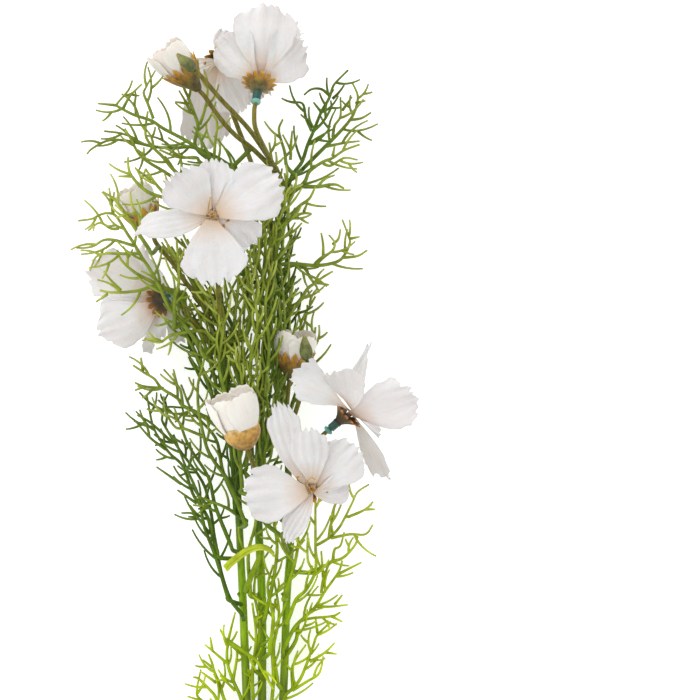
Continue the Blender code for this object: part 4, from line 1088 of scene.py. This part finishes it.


# %% [markdown]
# Cosmos leaves are threads that fork again and again. A rule could grow all of it, but then no sprig would be
# the one that this bunch has. So each sprig is listed as its main rib and the larger forks, seen from above,
# and only the small twigs are left to the tree. A sprig has the heights of its root and its tip, how far its
# green is darkened (partly its own deeper green, partly painted shade deep in the bunch), and the length of
# its twigs. A fork starts at the height that the rib has at its nearest point.

# %% The sprigs
SPRIGS = {
    # upper left
    "frond_top_left": (70, 62, 0.55, 6, (
        ((12, 126), (-4, 142), (-21, 152), (-32, 160), (-45, 167), (-51, 171), (-60, 174), (-66, 177),
         (-69, 179), (-68, 181), (-63, 187), (-61, 192)), ((-69, 179), (-79, 180)), ((-66, 177), (-62, 184),
         (-56, 190)), ((-59, 175), (-60, 181)), ((-50, 172), (-53, 180), (-55, 185), (-54, 188),
         (-49, 197)))),
    "frond_back_left": (52, 36, 0.6, 6, (
        ((12, 124), (-8, 146), (-28, 157), (-40, 157), (-51, 158), (-57, 160), (-62, 163), (-68, 165),
         (-76, 166)), ((-51, 158), (-65, 161), (-74, 161), (-82, 157), (-85, 154)))),
    "sprig_left_c": (66, 60, 0.3, 5, (
        ((-18, 118), (-30, 136), (-40, 146), (-45, 152), (-51, 158), (-54, 163), (-54, 169), (-53, 176)),)),
    "sprig_left_d": (56, 46, 0.35, 6, (
        ((-14, 146), (-28, 157), (-27, 168), (-29, 175), (-32, 183), (-35, 190), (-36, 198), (-38, 209)),
        ((-31, 176), (-34, 182), (-37, 187)), ((-32, 180), (-39, 181)), ((-26, 169), (-23, 179), (-22, 190),
         (-24, 198)))),
    "sprig_left_e": (80, 78, 0.0, 6, (
        ((-18, 112), (-38, 128), (-53, 134), (-61, 142), (-63, 148), (-63, 152)), ((-61, 142), (-68, 142)))),
    "sprig_left_f": (82, 78, 0.1, 5, (
        ((-18, 114), (-40, 129), (-46, 135), (-50, 140), (-54, 146)), ((-51, 140), (-59, 146)))),
    "sprig_left_g": (64, 60, 0.3, 5, (
        ((-18, 116), (-32, 134), (-42, 143), (-56, 152), (-62, 162), (-65, 167)),)),
    "sprig_left_h": (58, 56, 0.2, 5, (
        ((4, 134), (-12, 142), (-18, 150), (-18, 160), (-17, 170), (-20, 175)),)),
    "sprig_left_i": (64, 62, 0.4, 5, (
        ((8, 132), (-10, 140), (-25, 149), (-28, 152), (-37, 152), (-47, 156)),)),
    # upper right
    "frond_top_right": (44, 24, 0.85, 6, (
        ((19, 134), (22, 143), (27, 150), (30, 159), (33, 166), (37, 176), (41, 183), (43, 189), (45, 192),
         (51, 198)), ((32, 166), (29, 173), (28, 179), (26, 181), (21, 181)), ((37, 176), (33, 181)),
        ((33, 166), (38, 171), (42, 178), (42, 182)), ((30, 159), (36, 163), (43, 167)), ((41, 185),
         (37, 188), (32, 188), (28, 185)), ((43, 183), (46, 186), (49, 190)))),
    "frond_back_right": (30, 14, 0.5, 6, (
        ((28, 147), (39, 158), (46, 165), (52, 172), (55, 178), (56, 185), (53, 192)), ((52, 172), (58, 173),
         (63, 176)), ((55, 181), (60, 182)), ((43, 163), (44, 169), (47, 174), (47, 184)), ((48, 177),
         (53, 184)), ((39, 158), (49, 160), (57, 161)))),
    "frond_high_right": (44, 40, 0.35, 6, (
        ((20, 132), (28, 139), (31, 145), (38, 150), (43, 152), (49, 156), (57, 159)), ((38, 149), (42, 148),
         (49, 152), (56, 151)), ((43, 153), (44, 158)))),
    "sprig_right_d": (46, 44, 0.3, 5, (
        ((28, 137), (36, 137), (41, 138), (45, 138), (49, 136)), ((35, 137), (39, 141), (44, 143)))),
    "sprig_right_e": (50, 46, 0.2, 5, (((21, 122), (26, 127), (31, 131), (34, 137)),)),
    "sprig_right_f": (52, 46, 0.5, 5, (
        ((22, 144), (19, 148), (18, 155), (15, 166), (17, 172)), ((21, 151), (21, 156), (17, 164)),
        ((21, 156), (22, 166)))),
    "sprig_right_g": (48, 44, 0.2, 5, (
        ((15, 113), (21, 120), (27, 123), (32, 123)), ((28, 124), (30, 129)), ((15, 109), (23, 114),
         (27, 118)))),
    "frond_mid_right": (42, 30, 0.25, 6, (
        ((14, 96), (21, 97), (34, 96), (42, 97), (47, 99), (50, 103), (52, 108), (51, 112), (48, 120)),
        ((48, 100), (56, 101), (61, 104)), ((52, 110), (57, 111)), ((34, 96), (38, 100), (43, 104), (44, 108),
         (41, 112)), ((43, 107), (46, 110), (47, 115)), ((38, 100), (38, 107), (37, 113)))),
    "sprig_right_h": (38, 32, 0.2, 5, (((14, 92), (22, 96), (28, 96), (31, 90), (34, 86), (36, 82)),)),
    "sprig_right_i": (38, 32, 0.15, 5, (
        ((20, 70), (26, 78), (30, 84), (34, 87), (38, 90), (43, 93)), ((35, 87), (41, 86)))),
    # middle left
    "frond_over_left": (60, 72, 0.15, 6, (
        ((-24, 50), (-31, 61), (-41, 73), (-47, 85), (-52, 94), (-56, 100), (-60, 107), (-64, 113),
         (-67, 118), (-70, 122), (-74, 123), (-78, 122), (-82, 120), (-89, 119)), ((-68, 115), (-72, 115),
         (-78, 118), (-84, 114)), ((-71, 123), (-72, 130), (-73, 136)), ((-60, 106), (-70, 109), (-76, 109),
         (-81, 106), (-86, 105), (-90, 105)), ((-57, 102), (-69, 102), (-75, 102), (-80, 100), (-83, 93)))),
    "sprig_middle_b": (78, 80, 0.0, 6, (
        ((-52, 104), (-60, 116), (-69, 129), (-76, 134)), ((-57, 110), (-57, 120), (-61, 127), (-62, 134)))),
    "sprig_middle_c": (56, 52, 0.1, 5, (((-20, 58), (-25, 62), (-40, 60), (-47, 56), (-55, 58)),)),
    "sprig_middle_d": (60, 58, 0.1, 5, (
        ((-38, 80), (-48, 86), (-56, 90), (-62, 94), (-67, 99), (-69, 104)),)),
    "sprig_middle_e": (60, 56, 0.1, 6, (
        ((-36, 82), (-49, 85), (-57, 83), (-65, 82), (-73, 82), (-78, 83)), ((-74, 81), (-80, 77)),
        ((-67, 83), (-72, 88), (-76, 93)))),
    "sprig_middle_f": (64, 66, 0.1, 5, (
        ((-39, 66), (-39, 78), (-37, 86), (-37, 96), (-38, 109)), ((-37, 98), (-44, 109)))),
    # lower left
    "frond_side_left": (46, 32, 0.45, 6, (
        ((-14, 10), (-27, 19), (-35, 23), (-38, 27), (-46, 32), (-50, 37), (-55, 40), (-61, 44)), ((-56, 41),
         (-57, 48)), ((-45, 32), (-55, 33), (-60, 35)), ((-55, 33), (-60, 31)), ((-35, 23), (-36, 30),
         (-38, 34), (-45, 42)), ((-38, 33), (-40, 42)))),
    "frond_arch_left": (38, 62, 0.5, 6, (
        ((-3, -37), (-11, -17), (-18, -7), (-22, 0), (-24, 7), (-26, 16), (-27, 24), (-27, 34), (-25, 42),
         (-23, 49), (-18, 55)), ((-24, 7), (-34, 11), (-39, 12), (-44, 20), (-45, 28)))),
    "frond_low_left": (22, 24, 0.9, 6, (
        ((-6, -84), (-11, -77), (-15, -65), (-17, -55), (-19, -44), (-20, -36), (-22, -26), (-24, -19),
         (-28, -12), (-37, 0), (-45, 13), (-46, 17), (-44, 22), (-36, 22)), ((-45, 20), (-52, 24),
         (-58, 30)))),
    "sprig_low_left_b": (26, 22, 0.8, 6, (
        ((-17, -54), (-20, -44), (-22, -36), (-26, -29), (-30, -23), (-35, -9), (-42, -2), (-47, 5),
         (-51, 13), (-54, 28)), ((-41, 4), (-52, 14), (-59, 18)), ((-44, 0), (-52, 6), (-60, 15)),
        ((-21, -44), (-29, -34), (-36, -33)), ((-28, -28), (-38, -21)), ((-36, -18), (-49, -9)))),
    "sprig_low_left_c": (30, 34, 0.6, 5, (((-4, -36), (-13, -30), (-28, -24)),)),
    # lower right
    "frond_side_right": (28, 40, 0.05, 6, (
        ((20, -88), (24, -78), (29, -73), (34, -63), (34, -49), (34, -36), (34, -21)), ((34, -50), (41, -46),
         (46, -41), (49, -36), (53, -28), (56, -22), (62, -18)), ((51, -35), (60, -31), (64, -27)),
        ((60, -31), (65, -31)), ((41, -46), (42, -39), (45, -34), (48, -27)), ((42, -46), (52, -44),
         (60, -44), (64, -39)), ((33, -63), (30, -57), (30, -43)))),
    "sprig_low_right_b": (32, 34, 0.0, 5, (
        ((34, -63), (40, -60), (43, -58), (47, -57), (51, -54), (55, -49), (56, -45)), ((43, -58), (44, -52),
         (47, -50), (49, -43)))),
    "frond_low_right": (18, 12, 0.05, 6, (
        ((18, -103), (23, -93), (29, -87), (34, -82), (39, -74), (46, -64), (48, -58)), ((46, -65), (52, -62),
         (58, -59)), ((37, -75), (38, -68), (41, -60), (44, -56)), ((38, -67), (37, -53)), ((34, -82),
         (42, -82), (51, -81)), ((44, -81), (48, -76)))),
    "sprig_low_right_d": (14, 12, 0.0, 5, (
        ((20, -106), (24, -99), (25, -91), (28, -89), (33, -88), (43, -87), (47, -85)), ((42, -87),
         (48, -90)))),
    "frond_foot_right": (10, 8, 0.0, 6, (
        ((15, -140), (18, -129), (22, -125), (26, -120), (29, -113), (33, -102), (35, -97), (42, -90)),
        ((35, -96), (34, -88)), ((31, -111), (39, -106), (44, -101)), ((39, -106), (45, -107)), ((22, -126),
         (30, -121), (35, -118), (37, -114), (38, -108)), ((22, -125), (22, -113), (29, -102)))),
    "frond_foot_left": (10, 8, 0.05, 5, (
        ((-3, -140), (-5, -130), (-9, -121), (-12, -112), (-12, -103), (-9, -99), (-7, -95)), ((-12, -112),
         (-19, -106), (-24, -102)), ((-20, -105), (-21, -98)), ((-12, -101), (-16, -94)), ((-12, -101),
         (-10, -93), (-8, -85)), ((-9, -120), (-7, -107), (-9, -102)), ((-8, -126), (-16, -118)))),
    "sprig_foot_left_b": (7, 7, 0.1, 5, (
        ((-3, -152), (-9, -141), (-14, -130), (-16, -123), (-19, -116), (-20, -112), (-22, -107)),
        ((-20, -114), (-25, -110)), ((-18, -122), (-26, -116)))),
    "sprig_foot_left_c": (6, 6, 0.1, 5, (
        ((-4, -156), (-11, -144), (-18, -130), (-21, -126), (-27, -120), (-30, -119)), ((-18, -136),
         (-27, -130), (-28, -125), (-26, -115)), ((-24, -132), (-33, -129)))),
    "sprig_across": (18, 22, 0.0, 4, (((-10, -101), (-4, -105), (3, -110), (6, -115), (12, -125)),)),
    "sprig_low_middle_a": (24, 36, 0.2, 7, (((8, -86), (12, -68), (14, -50), (11, -30), (10, -12)),)),
    "sprig_low_middle_b": (28, 34, 0.1, 7, (((18, -76), (23, -60), (25, -46), (22, -32)),)),
    "sprig_low_middle_c": (26, 38, 0.3, 7, (((0, -74), (-1, -54), (3, -36), (0, -16)),)),
    "sprig_low_middle_d": (24, 26, 0.0, 6, (((10, -104), (12, -88), (9, -72), (12, -60)),)),
    "sprig_low_stalk_a": (13, 22, 0.2, 3, (((2, -140), (1, -118), (3, -98), (1, -80)),)),
    "sprig_low_stalk_b": (14, 22, 0.1, 3, (((10, -142), (12, -120), (11, -98), (13, -78)),)),
    "sprig_low_stalk_c": (16, 26, 0.3, 4, (((2, -112), (5, -92), (2, -74), (4, -58)),)),
    "sprig_low_stalk_d": (16, 24, 0.2, 4, (((14, -120), (12, -104), (15, -86), (12, -66)),)),
    "sprig_low_left_d": (26, 30, 0.9, 6, (
        ((-12, -76), (-18, -56), (-24, -40), (-27, -24), (-34, -8), (-40, 8)),)),
    "sprig_low_left_e": (30, 34, 0.8, 6, (
        ((-10, -50), (-18, -30), (-22, -14), (-32, 2), (-38, 16), (-48, 26)),)),
    "sprig_low_left_f": (34, 38, 0.6, 6, (((-6, -30), (-14, -12), (-18, 6), (-30, 20), (-36, 34)),)),
    # the dense middle
    "frond_low_back": (16, 8, 0.5, 9, (((2, -10), (-8, 20), (-14, 48), (-12, 78), (2, 104)),)),
    "sprig_mass_a": (34, 52, 0.9, 9, (((-8, -30), (-10, 0), (-14, 30), (-12, 62)),)),
    "sprig_mass_b": (34, 50, 0.4, 9, (((2, -20), (0, 14), (-4, 48), (-2, 86)),)),
    "sprig_mass_c": (42, 54, 0.8, 9, (((6, -30), (8, 10), (12, 46), (10, 84)),)),
    "sprig_mass_d": (40, 46, 0.5, 9, (((10, 0), (14, 34), (18, 62), (16, 96)),)),
    "sprig_mass_e": (46, 60, 0.3, 9, (((-4, 30), (-8, 62), (-6, 92), (-12, 118)),)),
    "sprig_mass_f": (48, 56, 0.2, 9, (((4, 50), (6, 82), (8, 110), (4, 136)),)),
    "sprig_mass_g": (22, 34, 0.9, 8, (((14, 40), (20, 66), (18, 92), (22, 116)),)),
    "sprig_mass_h": (44, 52, 0.4, 9, (((-12, 40), (-20, 62), (-26, 84), (-28, 106)),)),
    "sprig_mass_i": (40, 46, 0.9, 8, (((-14, 10), (-22, 34), (-30, 54), (-34, 74)),)),
    "sprig_mass_j": (38, 38, 0.9, 8, (((8, 60), (14, 84), (14, 108), (20, 128)),)),
    "sprig_mass_k": (42, 44, 0.8, 8, (((0, 70), (-4, 96), (-10, 120), (-6, 146)),)),
    "sprig_mass_l": (26, 26, 0.5, 8, (((18, 10), (24, 30), (32, 46), (34, 64)),)),
    "sprig_mass_m": (52, 50, 0.3, 7, (((2, 90), (8, 118), (12, 142), (10, 160)),)),
    "sprig_mass_n": (56, 62, 0.2, 8, (((-10, 20), (-16, 44), (-14, 66), (-22, 84)),)),
    "sprig_mass_o": (54, 64, 0.3, 8, (((4, 20), (0, 44), (4, 66), (0, 92)),)),
    "sprig_mass_p": (24, 30, 0.7, 8, (((14, 16), (18, 40), (14, 66), (18, 90)),)),
    "sprig_mass_q": (32, 40, 0.6, 8, (((10, 44), (16, 70), (14, 92), (22, 112)),)),
    "sprig_mass_r": (56, 60, 0.3, 8, (((-2, 60), (4, 84), (2, 104), (10, 124)),)),
    "sprig_mass_s": (54, 58, 0.4, 8, (((12, 84), (14, 104), (20, 124), (18, 144)),)),
    "sprig_mass_t": (46, 50, 0.5, 8, (((-20, 30), (-28, 50), (-36, 66), (-38, 84)),)),
    "sprig_mass_u": (26, 28, 0.4, 8, (((22, 24), (28, 44), (26, 64), (34, 80)),)),
    "sprig_mass_v": (50, 60, 0.3, 8, (((-4, -20), (-6, 8), (-4, 34), (-8, 56)),)),
    "sprig_mass_w": (44, 56, 0.6, 8, (((8, -36), (6, -12), (10, 12), (8, 34)),)),
    "sprig_mass_x": (48, 54, 0.4, 8, (((-18, 36), (-24, 56), (-32, 70), (-40, 80)),)),
    "sprig_mass_y": (54, 58, 0.3, 8, (((8, 30), (10, 54), (8, 76), (12, 98)),)),
    "sprig_mass_z": (28, 30, 0.2, 8, (((14, 20), (16, 44), (18, 66), (24, 84)),)),
    "sprig_mass_shoulder_a": (36, 40, 0.5, 7, (((-12, 44), (-22, 70), (-32, 90), (-41, 106)),)),
    "sprig_mass_shoulder_b": (38, 42, 0.3, 7, (((-12, 56), (-24, 78), (-34, 94), (-46, 106)),)),
    "sprig_mass_shoulder_c": (40, 44, 0.6, 7, (((-8, 62), (-18, 82), (-28, 96), (-36, 110)),)),
    "sprig_mass_north": (54, 60, 0.3, 8, (((6, 80), (10, 104), (16, 122), (22, 138)),)),
    "sprig_mass_south": (50, 58, 0.3, 8, (((-2, -10), (0, 14), (4, 34), (2, 56)),)),
    "sprig_mass_west": (52, 56, 0.2, 8, (((-6, 36), (-12, 56), (-20, 74), (-28, 92)),)),
}
print("sprigs:", len(SPRIGS))


# %% [markdown]
# The sprigs become wires. The rib is thick at its root and thin at its tip, and each fork starts a little
# thinner than the rib. Every second fork rises and the others fall, so that no sprig is flat. The sprigs in
# the dense middle have closer twigs that lean further forward, because leaves that are pressed together lie
# along each other.

# %% Leaves
RIB_GIRTH = (1.1, 0.55)
FORK_GIRTH = (0.85, 0.48)
FORK_RISE = 3.0
LOWEST_LEAF = 1.0
# The twigs' spacing, their length as a multiple of the sprig's own figure, their angle and their girth.
OPEN_TWIGS = (9.0, 3.3, math.radians(46), 0.76)
DENSE_TWIGS = (5.0, 2.5, math.radians(34), 0.8)
leaf_roots = []
for number, (sprig, (root_height, tip_height, depth, twig, lines)) in enumerate(SPRIGS.items()):
    main = lines[0]
    last = len(main) - 1
    rib = smooth_path([(x, y, root_height + (tip_height - root_height) * k / last)
                       for k, (x, y) in enumerate(main)], 5)
    routes = [(rib, RIB_GIRTH, (0.0, 0.75), depth)]
    leaf_roots.append((rib[0], (rib[1] - rib[0]).normalized(), depth))
    for k, line in enumerate(lines[1:]):
        nearest = min(range(len(rib)), key=lambda i: (rib[i].xy - Vector(line[0])).length)
        height, rise = rib[nearest].z, FORK_RISE if k % 2 else -FORK_RISE
        fork = smooth_path([(x, y, max(LOWEST_LEAF, height + rise * i / (len(line) - 1)))
                            for i, (x, y) in enumerate(line)], 5)
        routes.append((fork, FORK_GIRTH, (0.3, 0.95), depth))
    nodes = [sprig] if sprig.startswith("frond_") else []
    name = f"{sprig}_threads" if nodes else sprig
    spacing, length, angle, girth = DENSE_TWIGS if "mass" in sprig else OPEN_TWIGS
    make_wires(name, routes, LEAF_PLASTIC, nodes, seed=number,
               twigs=(spacing, twig * length, angle, girth))
print("pieces:", len(PIECES))


# %% [markdown]
# No leaf floats. A short leaf stalk joins each sprig's root to a stem or a head's stalk. Routing each one by
# hand would take as long as the sprigs did, and they hardly show. So each starts inside the nearest stem, a
# little further down the bunch, and runs into the rib in the rib's own direction. They are one piece.

# %% Leaf stalks
LEAF_STALK_SHORTEST, LEAF_STALK_LONGEST, LEAF_STALK_DROP, LEAF_STALK_LEAD = 1.0, 28.0, 6.0, 2.5
LEAF_STALK_GIRTH = (1.2, 1.1)
joins = []
for root, heading, depth in leaf_roots:
    lower = root - Vector((0, LEAF_STALK_DROP, 0))
    foot = min(stem_points, key=lambda point: (point - lower).length)
    if LEAF_STALK_SHORTEST < (foot - root).length < LEAF_STALK_LONGEST:
        joins.append((smooth_path([foot, root - heading * LEAF_STALK_LEAD, root], 5), LEAF_STALK_GIRTH,
                      (0.0, 0.0), depth))
make_wires("leaf_stalks", joins, LEAF_PLASTIC)
print("leaf stalks:", len(joins), "of", len(leaf_roots))


# %% [markdown]
# Two shoots on the left stem have lost their leaves. One is bent over into a hook, and its lime strap has a
# second strand beside it. The other is a short olive branch. Both are wires like the leaves, but fatter, so
# the same tree makes them.

# %% Bent shoots
HOOK = ((-13, -61, 38), (-9, -57, 41), (-2, -52, 41), (4, -50, 41), (9, -51, 40), (12, -54, 38))
BRANCH = ((-2, -74, 24), (0, -67, 30), (4, -58, 32), (6, -52, 33))
hook = smooth_path(HOOK, 6)
strand = [point + Vector((0.8, -1.6, -0.6)) for point in hook]
branch = smooth_path(BRANCH, 6)
make_wires("bent_shoots", [(hook, (1.3, 1.0), (0.6, 0.9), 0.0), (strand, (0.9, 0.7), (0.9, 1.0), 0.0),
                           (branch, (1.7, 1.2), (0.0, 0.3), 0.3)], LEAF_PLASTIC, sides=10)
print("pieces:", len(PIECES))


# %% [markdown]
# The floor is a plain white light table that glows a little. The light is a white sky and one wide sun from
# the upper left, which is how a light tent looks on white goods: soft shade in the folds and hardly a shadow
# on the floor. Lamps in a ring would do it too, but they leave as many faint shadows as there are lamps.

# %% Floor and light
FLOOR_HALF, TABLE_GLOW = 30.0, 0.4
SKY_STRENGTH, SUN_STRENGTH, SUN_WIDTH, SUN_TILT = 0.95, 0.85, 60, (-28, -30, 0)
floor_mesh = bpy.data.meshes.new("floor")
floor_mesh.from_pydata([(-FLOOR_HALF, -FLOOR_HALF, 0), (FLOOR_HALF, -FLOOR_HALF, 0),
                        (FLOOR_HALF, FLOOR_HALF, 0), (-FLOOR_HALF, FLOOR_HALF, 0)], [], [(0, 1, 2, 3)])
white, _, _ = new_finish("white_light_table", 0.9, Base_Color=paint("#FFFFFF"),
                         Emission_Color=paint("#FFFFFF"), Emission_Strength=TABLE_GLOW)
floor_mesh.materials.append(white)
floor = bpy.data.objects.new("floor", floor_mesh)
bpy.context.scene.collection.objects.link(floor)

world = bpy.data.worlds.new("light_tent")
world.use_nodes = True
world.node_tree.nodes["Background"].inputs["Color"].default_value = (1.0, 1.0, 1.0, 1.0)
world.node_tree.nodes["Background"].inputs["Strength"].default_value = SKY_STRENGTH
bpy.context.scene.world = world
bpy.context.scene.view_settings.view_transform = "Standard"

sun = bpy.data.lights.new("wide_sun", "SUN")
sun.energy, sun.angle = SUN_STRENGTH, math.radians(SUN_WIDTH)
sun_object = bpy.data.objects.new("wide_sun", sun)
sun_object.rotation_euler = [math.radians(tilt) for tilt in SUN_TILT]
bpy.context.scene.collection.objects.link(sun_object)
print("sky:", SKY_STRENGTH, "sun:", SUN_STRENGTH)


# %% [markdown]
# The camera looks straight down on the bunch from far off through a long lens, so that the heights hardly
# change the outline. It takes in the heads and the upper stems, and it leaves the tie out of view. The lens
# follows from the width that it should see at the height of the blooms.

# %% Camera
VIEW_WIDTH, VIEW_CENTRE, CAMERA_HEIGHT, BLOOM_HEIGHT, SENSOR = 364.0, (52.0, 52.0), 8000.0, 50, 36.0
camera = bpy.data.cameras.new("camera")
camera.sensor_width, camera.lens = SENSOR, SENSOR * (CAMERA_HEIGHT - BLOOM_HEIGHT) / VIEW_WIDTH
camera.clip_start, camera.clip_end = 0.1, 100.0
camera_object = bpy.data.objects.new("camera", camera)
camera_object.location = (VIEW_CENTRE[0] * MM, VIEW_CENTRE[1] * MM, CAMERA_HEIGHT * MM)
bpy.context.scene.collection.objects.link(camera_object)
bpy.context.scene.camera = camera_object
print("lens:", round(camera.lens), "mm")


# %% [markdown]
# Last, the number of triangles in the finished pieces, before the cloth is given its thickness, is printed.

# %% Size of the finished model
triangles = sum(len(face.vertices) - 2 for piece in PIECES for face in piece.data.polygons)
print("triangles before thickness:", triangles)
